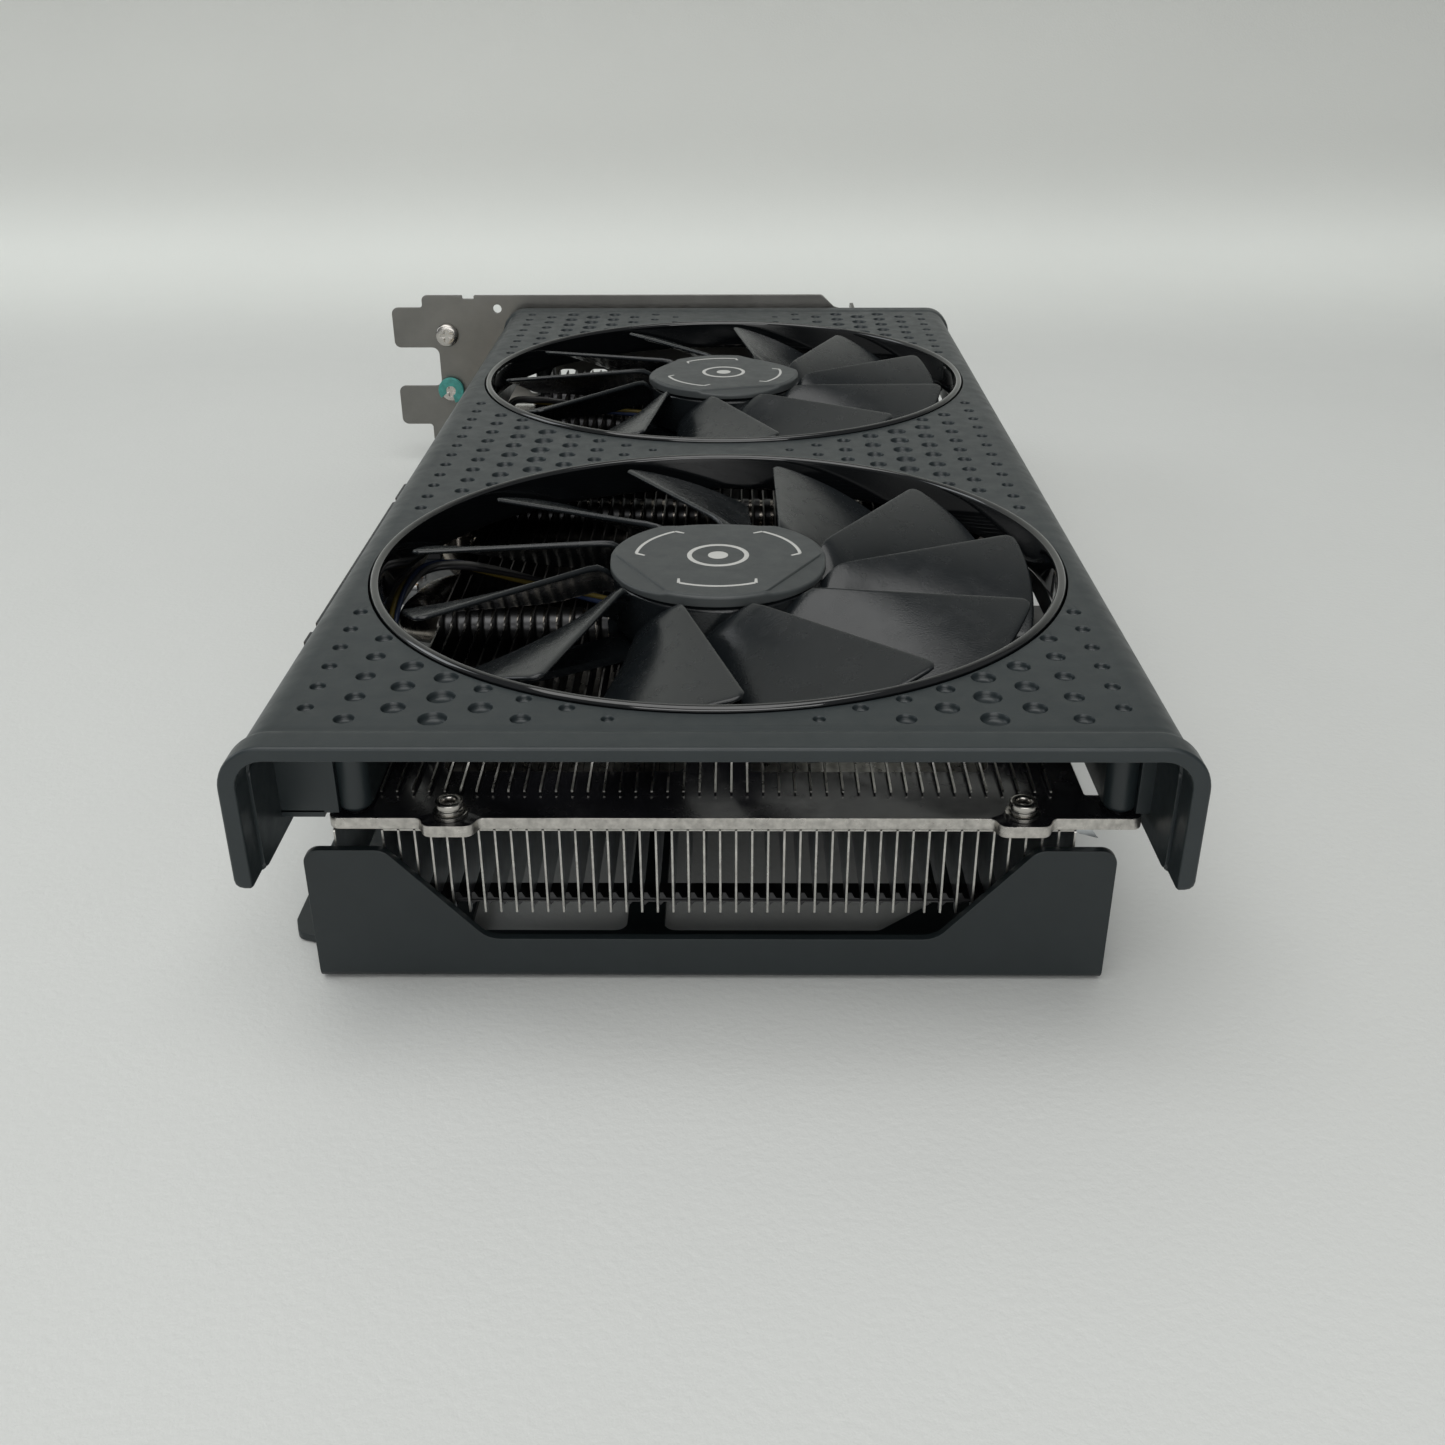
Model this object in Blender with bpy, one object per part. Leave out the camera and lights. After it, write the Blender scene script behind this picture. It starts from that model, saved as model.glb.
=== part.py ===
"""Dual-fan, two-slot graphics card, lying on its backplate with the fans facing up.

Units are metres, +Z up. Dimensions below are millimetres and are multiplied by MM where a mesh is made.
Card frame used for the dimensions: X across the card (the expansion-slot edge is at -X), Y along it from
the open tail end (Y = 0 at the tail flange of the backplate) towards the I/O bracket, Z up from the
backplate's outer face. One empty carries the whole card, so that the part's own origin is the middle of
its bounding box, at the bottom.
"""

import math

import bmesh
import bpy
from mathutils import Vector
from mathutils.geometry import tessellate_polygon

MM = 0.001
GAP = 0.3

# ---- overall limits -------------------------------------------------------
X_TONGUE, X_BAND = -86.4, 56.8
Y_TAIL, Y_TAB = -11.7, 240.9
ORIGIN = ((X_TONGUE + X_BAND) / 2, (Y_TAIL + Y_TAB) / 2, 0.0)

# ---- fan shroud -----------------------------------------------------------
SHROUD_END = 226.5
SHROUD_HALF, SHROUD_TOP, SHROUD_WALL = 55.6, 40.8, 1.9
BAND_HALF, BAND_TOP, BAND_LONG = 56.8, 41.0, 4.5
LEG_BOTTOM, BAND_LEG_BOTTOM = 21.8, 21.9
SHELL_INNER, BAND_INNER = 54.3, 54.6
CORNER_R = 4.5
FAN_Y = (48.1, 158.1)
FAN_NAMES = ("tail", "bracket")
SHROUD_HOLE_R = 50.9
TAIL_POSTS = ((-45.2, 2.8), (50.7, 2.8))
FAR_POSTS = ((-45.3, 213.5), (50.2, 213.5))
POST_R, TAIL_POST_R = 2.5, 2.1
ARM_TIPS = ((48.5, -30.0), (-48.5, -30.0), (48.5, 30.0))

# ---- fans -----------------------------------------------------------------
BLADES = 11
TIP_R, HUB_R, CAP_R = 46.6, 15.6, 16.0
RING_OUT, RING_IN, RING_LOW, RING_TOP = 50.6, 49.2, 35.2, 41.5
ROTOR_LOW, ROTOR_TOP = 31.5, 39.3
CAP_LOW, CAP_TOP = 39.6, 41.35
FRAME_LOW, FRAME_TOP = 29.6, 30.8
FAN_TURN = (13.3, 13.3 + 74.6)
CHORD = 12.9

# ---- cooler ---------------------------------------------------------------
PIPE_R = 3.0
PIPE_LOW_Z, PIPE_HIGH_Z = 16.3, 25.9
PIPE_LEGS = (97.0, 104.5, 119.5, 112.0)
PIPE_RETURNS = (57.0, 110.0, 172.0, 192.0)
FIN_PITCH = 2.04
FIN_THICK = 0.34

# ---- frame, board, backplate, bracket --------------------------------------
FRAME_Z = (23.2, 24.8)
PAD_X, PAD_Y = (-33.1, 38.4), 1.0
BOARD_Z = (6.9, 8.5)
BOARD_Y = (50.3, 228.3)
BACK_THICK = 1.2
FLANGE_Z = 20.05
BRACKET_Y = (228.9, 229.8)
BRACKET_Z = (4.9, 43.6)
PORT_X = (-54.0, -33.0, -12.0, 9.0)
SCREW_XY = ((-24.0, 86.0), (24.0, 86.0), (-24.0, 130.0), (24.0, 130.0))

for old in list(bpy.data.objects):
    bpy.data.objects.remove(old, do_unlink=True)


# ---------------------------------------------------------------- helpers
def material(name, color, roughness, metallic):
    made = bpy.data.materials.get(name)
    if made:
        return made
    made = bpy.data.materials.new(name)
    made.use_nodes = True
    shader = made.node_tree.nodes["Principled BSDF"]
    shader.inputs["Base Color"].default_value = (*color, 1.0)
    shader.inputs["Roughness"].default_value = roughness
    shader.inputs["Metallic"].default_value = metallic
    made.diffuse_color = (*color, 1.0)
    return made


def empty(name, parent=None, at=(0, 0, 0)):
    made = bpy.data.objects.new(name, None)
    bpy.context.scene.collection.objects.link(made)
    made.parent = parent
    made.location = Vector(at) * MM
    return made


CARD = empty("card_origin", at=(-ORIGIN[0], -ORIGIN[1], 0))


def mesh_of(name, points, faces):
    """A mesh from points in millimetres, with every face turned outwards."""
    data = bpy.data.meshes.new(name)
    bm = bmesh.new()
    verts = [bm.verts.new(Vector(p) * MM) for p in points]
    for face in faces:
        if len(set(face)) > 2:
            bm.faces.new([verts[i] for i in face])
    bmesh.ops.recalc_face_normals(bm, faces=bm.faces)
    bm.to_mesh(data)
    bm.free()
    return data


def place(name, data, parent=None, at=(0, 0, 0), turn=0.0, mat=None, smooth=False, helper=False):
    made = bpy.data.objects.new(name, data)
    bpy.context.scene.collection.objects.link(made)
    made.parent = parent or CARD
    made.location = Vector(at) * MM
    made.rotation_euler = (0, 0, math.radians(turn))
    if mat and not data.materials:
        data.materials.append(mat)
    if smooth and made.type == "MESH":
        data.shade_smooth()
        data.set_sharp_from_angle(angle=math.radians(35))
    if helper:
        made.hide_render = True
        made.display_type = "WIRE"
    return made


def boolean(target, helper, operation, use_self=False):
    modifier = target.modifiers.new(operation.lower() + "_" + helper.name, "BOOLEAN")
    modifier.operation = operation
    modifier.object = helper
    modifier.solver = "EXACT"
    modifier.use_self = use_self
    return modifier


class Shape:
    """Gathers closed pieces of one mesh."""

    def __init__(self):
        self.points, self.faces = [], []

    def add(self, points, faces):
        base = len(self.points)
        self.points += [tuple(p) for p in points]
        self.faces += [tuple(i + base for i in f) for f in faces]
        return self

    def mesh(self, name):
        return mesh_of(name, self.points, self.faces)

    def prism(self, outline, low, high, axis="z", holes=()):
        """The outline, extruded along an axis. The outline's two numbers are the other two axes, in X, Y, Z order."""
        loops = [list(outline)] + [list(h) for h in holes]
        flat = [p for loop in loops for p in loop]

        def lift(p, value):
            return {"z": (p[0], p[1], value), "y": (p[0], value, p[1]), "x": (value, p[0], p[1])}[axis]

        points = [lift(p, low) for p in flat] + [lift(p, high) for p in flat]
        count = len(flat)
        faces = []
        for a, b, c in tessellate_polygon([[Vector((p[0], p[1], 0)) for p in loop] for loop in loops]):
            faces += [(a, b, c), (c + count, b + count, a + count)]
        start = 0
        for loop in loops:
            size = len(loop)
            for i in range(size):
                a, b = start + i, start + (i + 1) % size
                faces.append((a, b, b + count, a + count))
            start += size
        return self.add(points, faces)

    def box(self, low, high):
        return self.prism(
            [(low[0], low[1]), (high[0], low[1]), (high[0], high[1]), (low[0], high[1])], low[2], high[2]
        )

    def cylinder(self, centre, radius, low, high, sides=24, axis="z"):
        return self.prism(circle(centre, radius, sides), low, high, axis)

    def turned(self, profile, sides, centre=(0, 0), closed=False):
        """A profile of (radius, z) turned about Z. It starts and ends on the axis unless it is closed."""
        rows = []
        points = []
        for radius, z in profile:
            if radius < 1e-6:
                rows.append([len(points)] * sides)
                points.append((centre[0], centre[1], z))
            else:
                rows.append(list(range(len(points), len(points) + sides)))
                for i in range(sides):
                    angle = 2 * math.pi * i / sides
                    points.append(
                        (centre[0] + radius * math.cos(angle), centre[1] + radius * math.sin(angle), z)
                    )
        faces = []
        for k in range(len(rows) if closed else len(rows) - 1):
            one, two = rows[k], rows[(k + 1) % len(rows)]
            for i in range(sides):
                j = (i + 1) % sides
                ring = []
                for index in (one[i], one[j], two[j], two[i]):
                    if index not in ring:
                        ring.append(index)
                if len(ring) > 2:
                    faces.append(tuple(ring))
        return self.add(points, faces)


def circle(centre, radius, sides, start=0.0):
    return [
        (
            centre[0] + radius * math.cos(start + 2 * math.pi * i / sides),
            centre[1] + radius * math.sin(start + 2 * math.pi * i / sides),
        )
        for i in range(sides)
    ]


def rectangle(low, high, round_by=0.0, steps=3):
    if not round_by:
        return [(low[0], low[1]), (high[0], low[1]), (high[0], high[1]), (low[0], high[1])]
    found = []
    for cx, cy, begin in (
        (high[0] - round_by, high[1] - round_by, 0),
        (low[0] + round_by, high[1] - round_by, 90),
        (low[0] + round_by, low[1] + round_by, 180),
        (high[0] - round_by, low[1] + round_by, 270),
    ):
        for k in range(steps + 1):
            a = math.radians(begin + 90 * k / steps)
            found.append((cx + round_by * math.cos(a), cy + round_by * math.sin(a)))
    return found


def smooth_route(through, per_span):
    """A Catmull-Rom curve through the given points."""
    ends = [through[0]] + list(through) + [through[-1]]
    found = []
    for i in range(1, len(ends) - 2):
        p0, p1, p2, p3 = (Vector(ends[i + k]) for k in (-1, 0, 1, 2))
        count = per_span if (p2 - p1).length < 14 else 1
        for k in range(count):
            t = k / count
            found.append(
                0.5
                * (
                    2 * p1
                    + (p2 - p0) * t
                    + (2 * p0 - 5 * p1 + 4 * p2 - p3) * t * t
                    + (3 * p1 - p0 - 3 * p2 + p3) * t * t * t
                )
            )
    found.append(Vector(ends[-1]))
    return found


def pipe(name, through, radius, mat, per_span=1, resolution=2):
    data = bpy.data.curves.new(name, "CURVE")
    data.dimensions = "3D"
    data.bevel_depth = radius * MM
    data.bevel_resolution = resolution
    data.use_fill_caps = True
    route = smooth_route(through, per_span)
    spline = data.splines.new("POLY")
    spline.points.add(len(route) - 1)
    for point, at in zip(spline.points, route):
        point.co = (*(at * MM), 1.0)
    spline.use_smooth = True
    return place(name, data, mat=mat)


# ---------------------------------------------------------------- materials
CHARCOAL = material("satin_charcoal_plastic", (0.035, 0.037, 0.041), 0.45, 0.0)
GLOSS = material("gloss_black_plastic", (0.008, 0.008, 0.009), 0.12, 0.0)
BLADE = material("fan_black_plastic", (0.02, 0.021, 0.023), 0.35, 0.0)
BADGE = material("hub_charcoal_plastic", (0.05, 0.052, 0.057), 0.42, 0.0)
PAINT = material("black_painted_steel", (0.022, 0.024, 0.03), 0.4, 0.3)
BACK = material("blue_black_painted_metal", (0.03, 0.033, 0.042), 0.45, 0.3)
FIN = material("fin_aluminium", (0.62, 0.62, 0.6), 0.32, 1.0)
PIPE = material("nickel_plated_pipe", (0.55, 0.52, 0.48), 0.28, 1.0)
NICKEL = material("bracket_nickel_steel", (0.42, 0.41, 0.39), 0.33, 1.0)
SCREW = material("screw_steel", (0.5, 0.48, 0.44), 0.3, 1.0)
BRASS = material("bearing_brass", (0.7, 0.52, 0.25), 0.35, 1.0)
STEEL = material("shaft_steel", (0.7, 0.7, 0.72), 0.2, 1.0)
IRON = material("stator_iron", (0.25, 0.2, 0.17), 0.5, 0.8)
FERRITE = material("magnet_ferrite", (0.06, 0.055, 0.055), 0.6, 0.2)
BOARD = material("circuit_board_black", (0.012, 0.014, 0.018), 0.4, 0.0)
CHIP = material("chip_moulding", (0.02, 0.02, 0.022), 0.45, 0.0)
SILICON = material("die_silicon", (0.35, 0.37, 0.42), 0.12, 0.6)
PAD = material("thermal_pad_grey", (0.5, 0.55, 0.6), 0.8, 0.0)
SOCKET = material("socket_black_plastic", (0.02, 0.02, 0.02), 0.5, 0.0)
HEADER = material("header_white_plastic", (0.75, 0.73, 0.68), 0.5, 0.0)
WIRE = material("lead_insulation", (0.03, 0.03, 0.035), 0.5, 0.0)
PORT = material("port_shell_steel", (0.6, 0.6, 0.6), 0.25, 1.0)


# ---------------------------------------------------------------- shroud
def shroud_section(half, top, leg):
    """The U section in X and Z: round outer corners, a top wall and two legs, bottom corners chamfered."""
    inner = BAND_INNER if half > 56.2 else SHELL_INNER
    under = top - SHROUD_WALL
    outer_r, inner_r = CORNER_R, CORNER_R - SHROUD_WALL
    right = []
    right += [(inner + 0.4, leg), (half - 0.9, leg), (half, leg + 0.9)]
    for k in range(5):
        a = math.radians(90 * k / 4)
        right.append((half - outer_r + outer_r * math.cos(a), top - outer_r + outer_r * math.sin(a)))
    left = [(-x, z) for x, z in reversed(right)]
    inside = []
    for k in range(3):
        a = math.radians(180 - 90 * k / 2)
        inside.append((-inner + inner_r + inner_r * math.cos(a), under - inner_r + inner_r * math.sin(a)))
    inside = [(-inner, leg + 0.4)] + inside
    inside += [(-x, z) for x, z in reversed(inside)]
    return right + left + inside


def shroud_mesh():
    stations = (
        (Y_TAIL, BAND_HALF - 0.4, BAND_TOP - 0.4, BAND_LEG_BOTTOM + 0.4),
        (Y_TAIL + 0.5, BAND_HALF, BAND_TOP, BAND_LEG_BOTTOM),
        (Y_TAIL + BAND_LONG - 1.3, BAND_HALF, BAND_TOP, BAND_LEG_BOTTOM),
        (Y_TAIL + BAND_LONG, SHROUD_HALF, SHROUD_TOP, BAND_LEG_BOTTOM),
        (Y_TAIL + BAND_LONG + 2.0, SHROUD_HALF, SHROUD_TOP, LEG_BOTTOM),
        (SHROUD_END - BAND_LONG, SHROUD_HALF, SHROUD_TOP, LEG_BOTTOM),
        (SHROUD_END - BAND_LONG + 1.3, BAND_HALF, BAND_TOP, LEG_BOTTOM),
        (SHROUD_END - 0.5, BAND_HALF, BAND_TOP, LEG_BOTTOM),
        (SHROUD_END, BAND_HALF - 0.4, BAND_TOP - 0.4, LEG_BOTTOM + 0.4),
    )
    shape = Shape()
    rings = [[(x, y, z) for x, z in shroud_section(half, top, leg)] for y, half, top, leg in stations]
    size = len(rings[0])
    points = [p for ring in rings for p in ring]
    faces = []
    for k in range(len(rings) - 1):
        for i in range(size):
            j = (i + 1) % size
            faces.append((k * size + i, k * size + j, (k + 1) * size + j, (k + 1) * size + i))
    cap = tessellate_polygon([[Vector((p[0], p[2], 0)) for p in rings[0]]])
    last = (len(rings) - 1) * size
    faces += [tuple(t) for t in cap] + [tuple(i + last for i in t) for t in cap]
    return shape.add(points, faces).mesh("fan_shroud")


shroud = place("fan_shroud", shroud_mesh(), mat=CHARCOAL, smooth=True)
posts = Shape()
for x, y in TAIL_POSTS:
    posts.cylinder((x, y), TAIL_POST_R, 25.1, 39.6, 12)
    side = -1 if x < 0 else 1
    reach, begin = side * 54.9, x + side * 1.6
    posts.box((min(begin, reach), y - 2.1, 25.1), (max(begin, reach), y - 0.8, 39.6))
    if side < 0:
        posts.box((-54.9, y - 2.1, 24.5), (-48.7, y - 0.8, 26.0))
for x, y in FAR_POSTS:
    posts.cylinder((x, y), POST_R, BOARD_Z[1] + GAP, 39.6, 10)
for cy in FAN_Y:
    for dx, dy in ARM_TIPS:
        posts.turned(
            [(0, 39.6), (2.2, 39.6), (2.2, FRAME_TOP + GAP), (1.2, FRAME_TOP + GAP), (1.2, FRAME_LOW - 0.6), (0, FRAME_LOW - 0.6)],
            8,
            (dx, cy + dy),
        )
shroud_posts = place("shroud_posts", posts.mesh("shroud_posts"), helper=True)
boolean(shroud, shroud_posts, "UNION", use_self=True)
cut = Shape()
for cy in FAN_Y:
    cut.cylinder((0, cy), SHROUD_HOLE_R, 36, 44, 48)
for x, y in TAIL_POSTS:
    cut.cylinder((x, y), 1.5, 20, 33, 8)
shroud_cut = place("shroud_cutters", cut.mesh("shroud_cutters"), helper=True)
boolean(shroud, shroud_cut, "DIFFERENCE")


# ---------------------------------------------------------------- screws
def screw_mesh(name, head_r, head_h, shank_r, shank_len):
    """A pan-head screw along +Z: the head's outer face at z = 0, the shank above it, and a round drive recess."""
    profile = [
        (0, 0.6),
        (head_r * 0.42, 0.0),
        (head_r * 0.85, 0.0),
        (head_r, head_h * 0.4),
        (head_r, head_h),
        (shank_r, head_h),
        (shank_r, head_h + shank_len),
        (0, head_h + shank_len),
    ]
    return Shape().turned(profile, 10).mesh(name)


tail_screw = screw_mesh("shroud_screw", 1.9, 1.0, 1.2, 8.5)
for index, (x, y) in enumerate(TAIL_POSTS):
    place(
        ("shroud_screw_left", "shroud_screw_right")[index],
        tail_screw,
        at=(x, y, FRAME_Z[0] + 0.05),
        mat=SCREW,
        smooth=True,
    )


# ---------------------------------------------------------------- fans
def blade_edge_angle(r):
    """The high edge of a blade is a straight line in plan, tangent to a circle of 9.46 mm."""
    return math.radians(11.7) - math.asin(9.457 / r)


def blade_centre(r, u):
    """Point of a blade's middle surface: radius r, and u from 0 at the high edge to 1 at the low edge."""
    share = (r - 15.0) / (TIP_R - 15.0)
    arc = math.radians(25.0 + 2.5 * share)
    angle = blade_edge_angle(r) - arc * u
    rise = 2.3 * min(1.0, max(0.0, (r - 16.12) / 0.36))
    drop = 6.0 + 1.9 * min(1.0, max(0.0, (r - 15.0) / 10.0))
    return Vector((r * math.cos(angle), r * math.sin(angle), 38.4 + rise - drop * (0.62 * u + 0.38 * u * u)))


def blade_point(r, u, side):
    step = 0.02
    clear = max(r, 17.0)
    across = blade_centre(clear, min(u + step, 1.0)) - blade_centre(clear, max(u - step, 0.0))
    along = blade_centre(clear + 0.2, u) - blade_centre(clear - 0.2, u)
    normal = across.cross(along)
    normal.normalize()
    if normal.z < 0:
        normal.negate()
    half = 0.5 - 0.12 * (r - 15.0) / (TIP_R - 15.0)
    at = blade_centre(r, u) + side * half * normal
    flat = math.hypot(at.x, at.y)
    return Vector((at.x * r / flat, at.y * r / flat, at.z))


def add_blade(shape, turn):
    radii = (14.5, 16.1, 16.5, 29.0, TIP_R)
    chord = (0.0, 0.33, 0.67, 1.0)
    cos, sin = math.cos(turn), math.sin(turn)
    points = []
    for side in (1, -1):
        for r in radii:
            for u in chord:
                p = blade_point(r, u, side)
                points.append((p.x * cos - p.y * sin, p.x * sin + p.y * cos, p.z))
    rows, cols = len(radii), len(chord)
    half = rows * cols
    faces = []
    for i in range(rows - 1):
        for j in range(cols - 1):
            a, b, c, d = i * cols + j, i * cols + j + 1, (i + 1) * cols + j + 1, (i + 1) * cols + j
            faces += [(a, b, c, d), (a + half, d + half, c + half, b + half)]
    rim = [j for j in range(cols)]
    rim += [i * cols + cols - 1 for i in range(1, rows)]
    rim += [(rows - 1) * cols + j for j in range(cols - 2, -1, -1)]
    rim += [i * cols for i in range(rows - 2, 0, -1)]
    for k in range(len(rim)):
        a, b = rim[k], rim[(k + 1) % len(rim)]
        faces.append((a, b, b + half, a + half))
    shape.add(points, faces)


def cap_mesh():
    """The hub's cap: a disc with a chamfered rim and three flats that slope down outside a chord."""
    sides = 36
    points, faces = [], []
    for i in range(sides):
        a = 2 * math.pi * i / sides
        inner = CAP_R - 0.35
        for normal in (90, 210, 330):
            away = abs((math.degrees(a) - normal + 180) % 360 - 180)
            if away < 80:
                inner = min(inner, CHORD / math.cos(math.radians(away)))
        low = CAP_TOP - 0.3 - 0.3 * (CAP_R - inner)
        c, s = math.cos(a), math.sin(a)
        points += [
            (CAP_R * c, CAP_R * s, CAP_LOW),
            (CAP_R * c, CAP_R * s, low),
            (inner * c, inner * s, CAP_TOP),
        ]
    base, top = len(points), len(points) + 1
    points += [(0, 0, CAP_LOW), (0, 0, CAP_TOP)]
    for i in range(sides):
        a, b = 3 * i, 3 * ((i + 1) % sides)
        faces += [(base, b, a), (a, b, b + 1, a + 1), (a + 1, b + 1, b + 2, a + 2), (top, a + 2, b + 2)]
    return Shape().add(points, faces).mesh("hub_cap")


def stator_mesh():
    """Four T-shaped poles around a bore, as a stack of laminations with its windings."""
    outline = []
    for pole in range(4):
        mid = 90 * pole
        for away, radius in ((-38, 6.4), (-16, 6.8), (-16, 9.4), (-36, 9.7), (-36, 11.0), (-18, 11.0), (0, 11.0)):
            a = math.radians(mid + away)
            outline.append((radius * math.cos(a), radius * math.sin(a)))
        for away, radius in ((18, 11.0), (36, 11.0), (36, 9.7), (16, 9.4), (16, 6.8), (38, 6.4)):
            a = math.radians(mid + away)
            outline.append((radius * math.cos(a), radius * math.sin(a)))
    return Shape().prism(outline, 32.0, 37.0, holes=[circle((0, 0), 4.4, 16)]).mesh("stator")


rotor_base = Shape().turned(
    [
        (0, ROTOR_TOP),
        (15.0, ROTOR_TOP),
        (HUB_R, ROTOR_TOP - 0.4),
        (HUB_R, ROTOR_LOW),
        (13.4, ROTOR_LOW),
        (13.4, 38.0),
        (0, 38.0),
    ],
    33,
)
rotor_data = rotor_base.mesh("fan_rotor")
blades = Shape()
for blade in range(BLADES):
    add_blade(blades, 2 * math.pi * blade / BLADES)
blade_data = blades.mesh("fan_blades")
cap_data = cap_mesh()
magnet_data = Shape().turned([(11.7, 32.2), (13.0, 32.2), (13.0, 37.6), (11.7, 37.6)], 22, closed=True).mesh("magnet")
shaft_data = Shape().turned([(0, 31.3), (0.8, 31.3), (1.0, 31.6), (1.0, 37.7), (0, 37.7)], 16).mesh("shaft")
bearing_data = Shape().turned([(1.07, 31.1), (2.3, 31.1), (2.3, 37.2), (1.07, 37.2)], 16, closed=True).mesh("bearing")
stator_data = stator_mesh()
board_data = (
    Shape().prism(circle((0, 0), 12.4, 20), 31.1, 31.7, holes=[circle((0, 0), 4.5, 12)]).mesh("motor_board")
)
ring_data = (
    Shape()
    .turned(
        [
            (RING_IN, RING_LOW),
            (RING_OUT, RING_LOW),
            (RING_OUT, 37.2),
            (51.6, 37.2),
            (51.6, 38.4),
            (RING_OUT, 38.4),
            (RING_OUT, 41.0),
            (49.9, RING_TOP),
            (RING_IN, 41.0),
        ],
        44,
        closed=True,
    )
    .mesh("ring_trim")
)


frame_cut = Shape()
for dx, dy in ARM_TIPS:
    frame_cut.cylinder((dx, dy), 1.5, FRAME_LOW - 2, FRAME_TOP + 2, 8)
for fan, cy in zip(FAN_NAMES, FAN_Y):
    base = Shape().cylinder((0, 0), 16.8, FRAME_LOW, FRAME_TOP, 24).mesh("fan_frame_" + fan)
    frame = place("fan_frame_" + fan, base, at=(0, cy, 0), mat=BLADE, smooth=True)
    arms = Shape()
    for dx, dy in ARM_TIPS:
        length = math.hypot(dx, dy)
        ux, uy = dx / length, dy / length
        nx, ny = -uy, ux
        arms.prism(
            [
                (ux * 14 + nx * 3.4, uy * 14 + ny * 3.4),
                (ux * 14 - nx * 3.4, uy * 14 - ny * 3.4),
                (ux * length - nx * 2.0, uy * length - ny * 2.0),
                (ux * length + nx * 2.0, uy * length + ny * 2.0),
            ],
            FRAME_LOW,
            FRAME_TOP,
        )
    arm_helper = place("frame_arms_" + fan, arms.mesh("frame_arms_" + fan), at=(0, cy, 0), helper=True)
    boolean(frame, arm_helper, "UNION")
    eyes = Shape()
    for dx, dy in ARM_TIPS:
        eyes.cylinder((dx, dy), 2.9, FRAME_LOW, FRAME_TOP, 8)
    eyes.turned([(2.6, 30.0), (4.1, 30.0), (4.1, 37.4), (2.6, 37.4)], 12, closed=True)
    eye_helper = place("frame_eyes_" + fan, eyes.mesh("frame_eyes_" + fan), at=(0, cy, 0), helper=True)
    boolean(frame, eye_helper, "UNION")
    hole_helper = place("frame_holes_" + fan, frame_cut.mesh("frame_holes_" + fan), at=(0, cy, 0), helper=True)
    boolean(frame, hole_helper, "DIFFERENCE")

    place("ring_trim_" + fan, ring_data, at=(0, cy, 0), mat=GLOSS, smooth=True)
    place("motor_stator_" + fan, stator_data, at=(0, cy, 0), turn=45, mat=IRON)
    place("motor_board_" + fan, board_data, at=(0, cy, 0), mat=BOARD)
    place("shaft_bearing_" + fan, bearing_data, at=(0, cy, 0), mat=BRASS, smooth=True)

for fan, cy, turn in zip(FAN_NAMES, FAN_Y, FAN_TURN):
    spin = empty("fan_axis_" + fan, CARD, (0, cy, 0))
    spin.rotation_euler = (0, 0, math.radians(turn))
    rotor = place("fan_rotor_" + fan, rotor_data.copy(), spin, mat=BLADE, smooth=True)
    helper = place("blades_" + fan, blade_data, spin, helper=True)
    boolean(rotor, helper, "UNION")
    place("hub_cap_" + fan, cap_data, spin, turn=-FAN_TURN[0], mat=BADGE, smooth=True)
    place("rotor_magnet_" + fan, magnet_data, spin, mat=FERRITE, smooth=True)
    place("fan_shaft_" + fan, shaft_data, spin, mat=STEEL, smooth=True)

# The lead of each fan runs from the motor's base along the fan's underside, over the fins, and down outside
# the fins to its header on the board.
pipe(
    "fan_lead_tail",
    (
        (-16.0, 56.2, 30.2),
        (-30.0, 65.5, 30.2),
        (-42.0, 72.2, 30.3),
        (-48.3, 71.5, 30.3),
        (-50.4, 63.5, 30.3),
        (-50.8, 54.8, 29.4),
        (-51.0, 51.4, 26.0),
        (-51.4, 51.4, 20.0),
        (-53.9, 53.0, 16.6),
        (-56.6, 54.7, 15.2),
        (-57.0, 55.5, 13.9),
    ),
    0.8,
    WIRE,
)
pipe(
    "fan_lead_bracket",
    (
        (-16.8, 164.8, 30.2),
        (-30.0, 170.5, 30.2),
        (-42.0, 176.2, 30.3),
        (-48.6, 179.2, 29.4),
        (-50.8, 180.2, 25.0),
        (-51.4, 180.4, 20.0),
        (-53.9, 181.0, 16.6),
        (-56.6, 181.5, 15.2),
        (-57.0, 181.7, 13.9),
    ),
    0.8,
    WIRE,
)
header_data = (
    Shape()
    .prism(rectangle((-3.0, -3.6), (3.0, 3.6)), 0, 4.7)
    .mesh("fan_header")
)
place("fan_header_tail", header_data, at=(-57.0, 55.5, BOARD_Z[1] + GAP), mat=HEADER)
place("fan_header_bracket", header_data, at=(-57.0, 181.7, BOARD_Z[1] + GAP), mat=HEADER)


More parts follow.
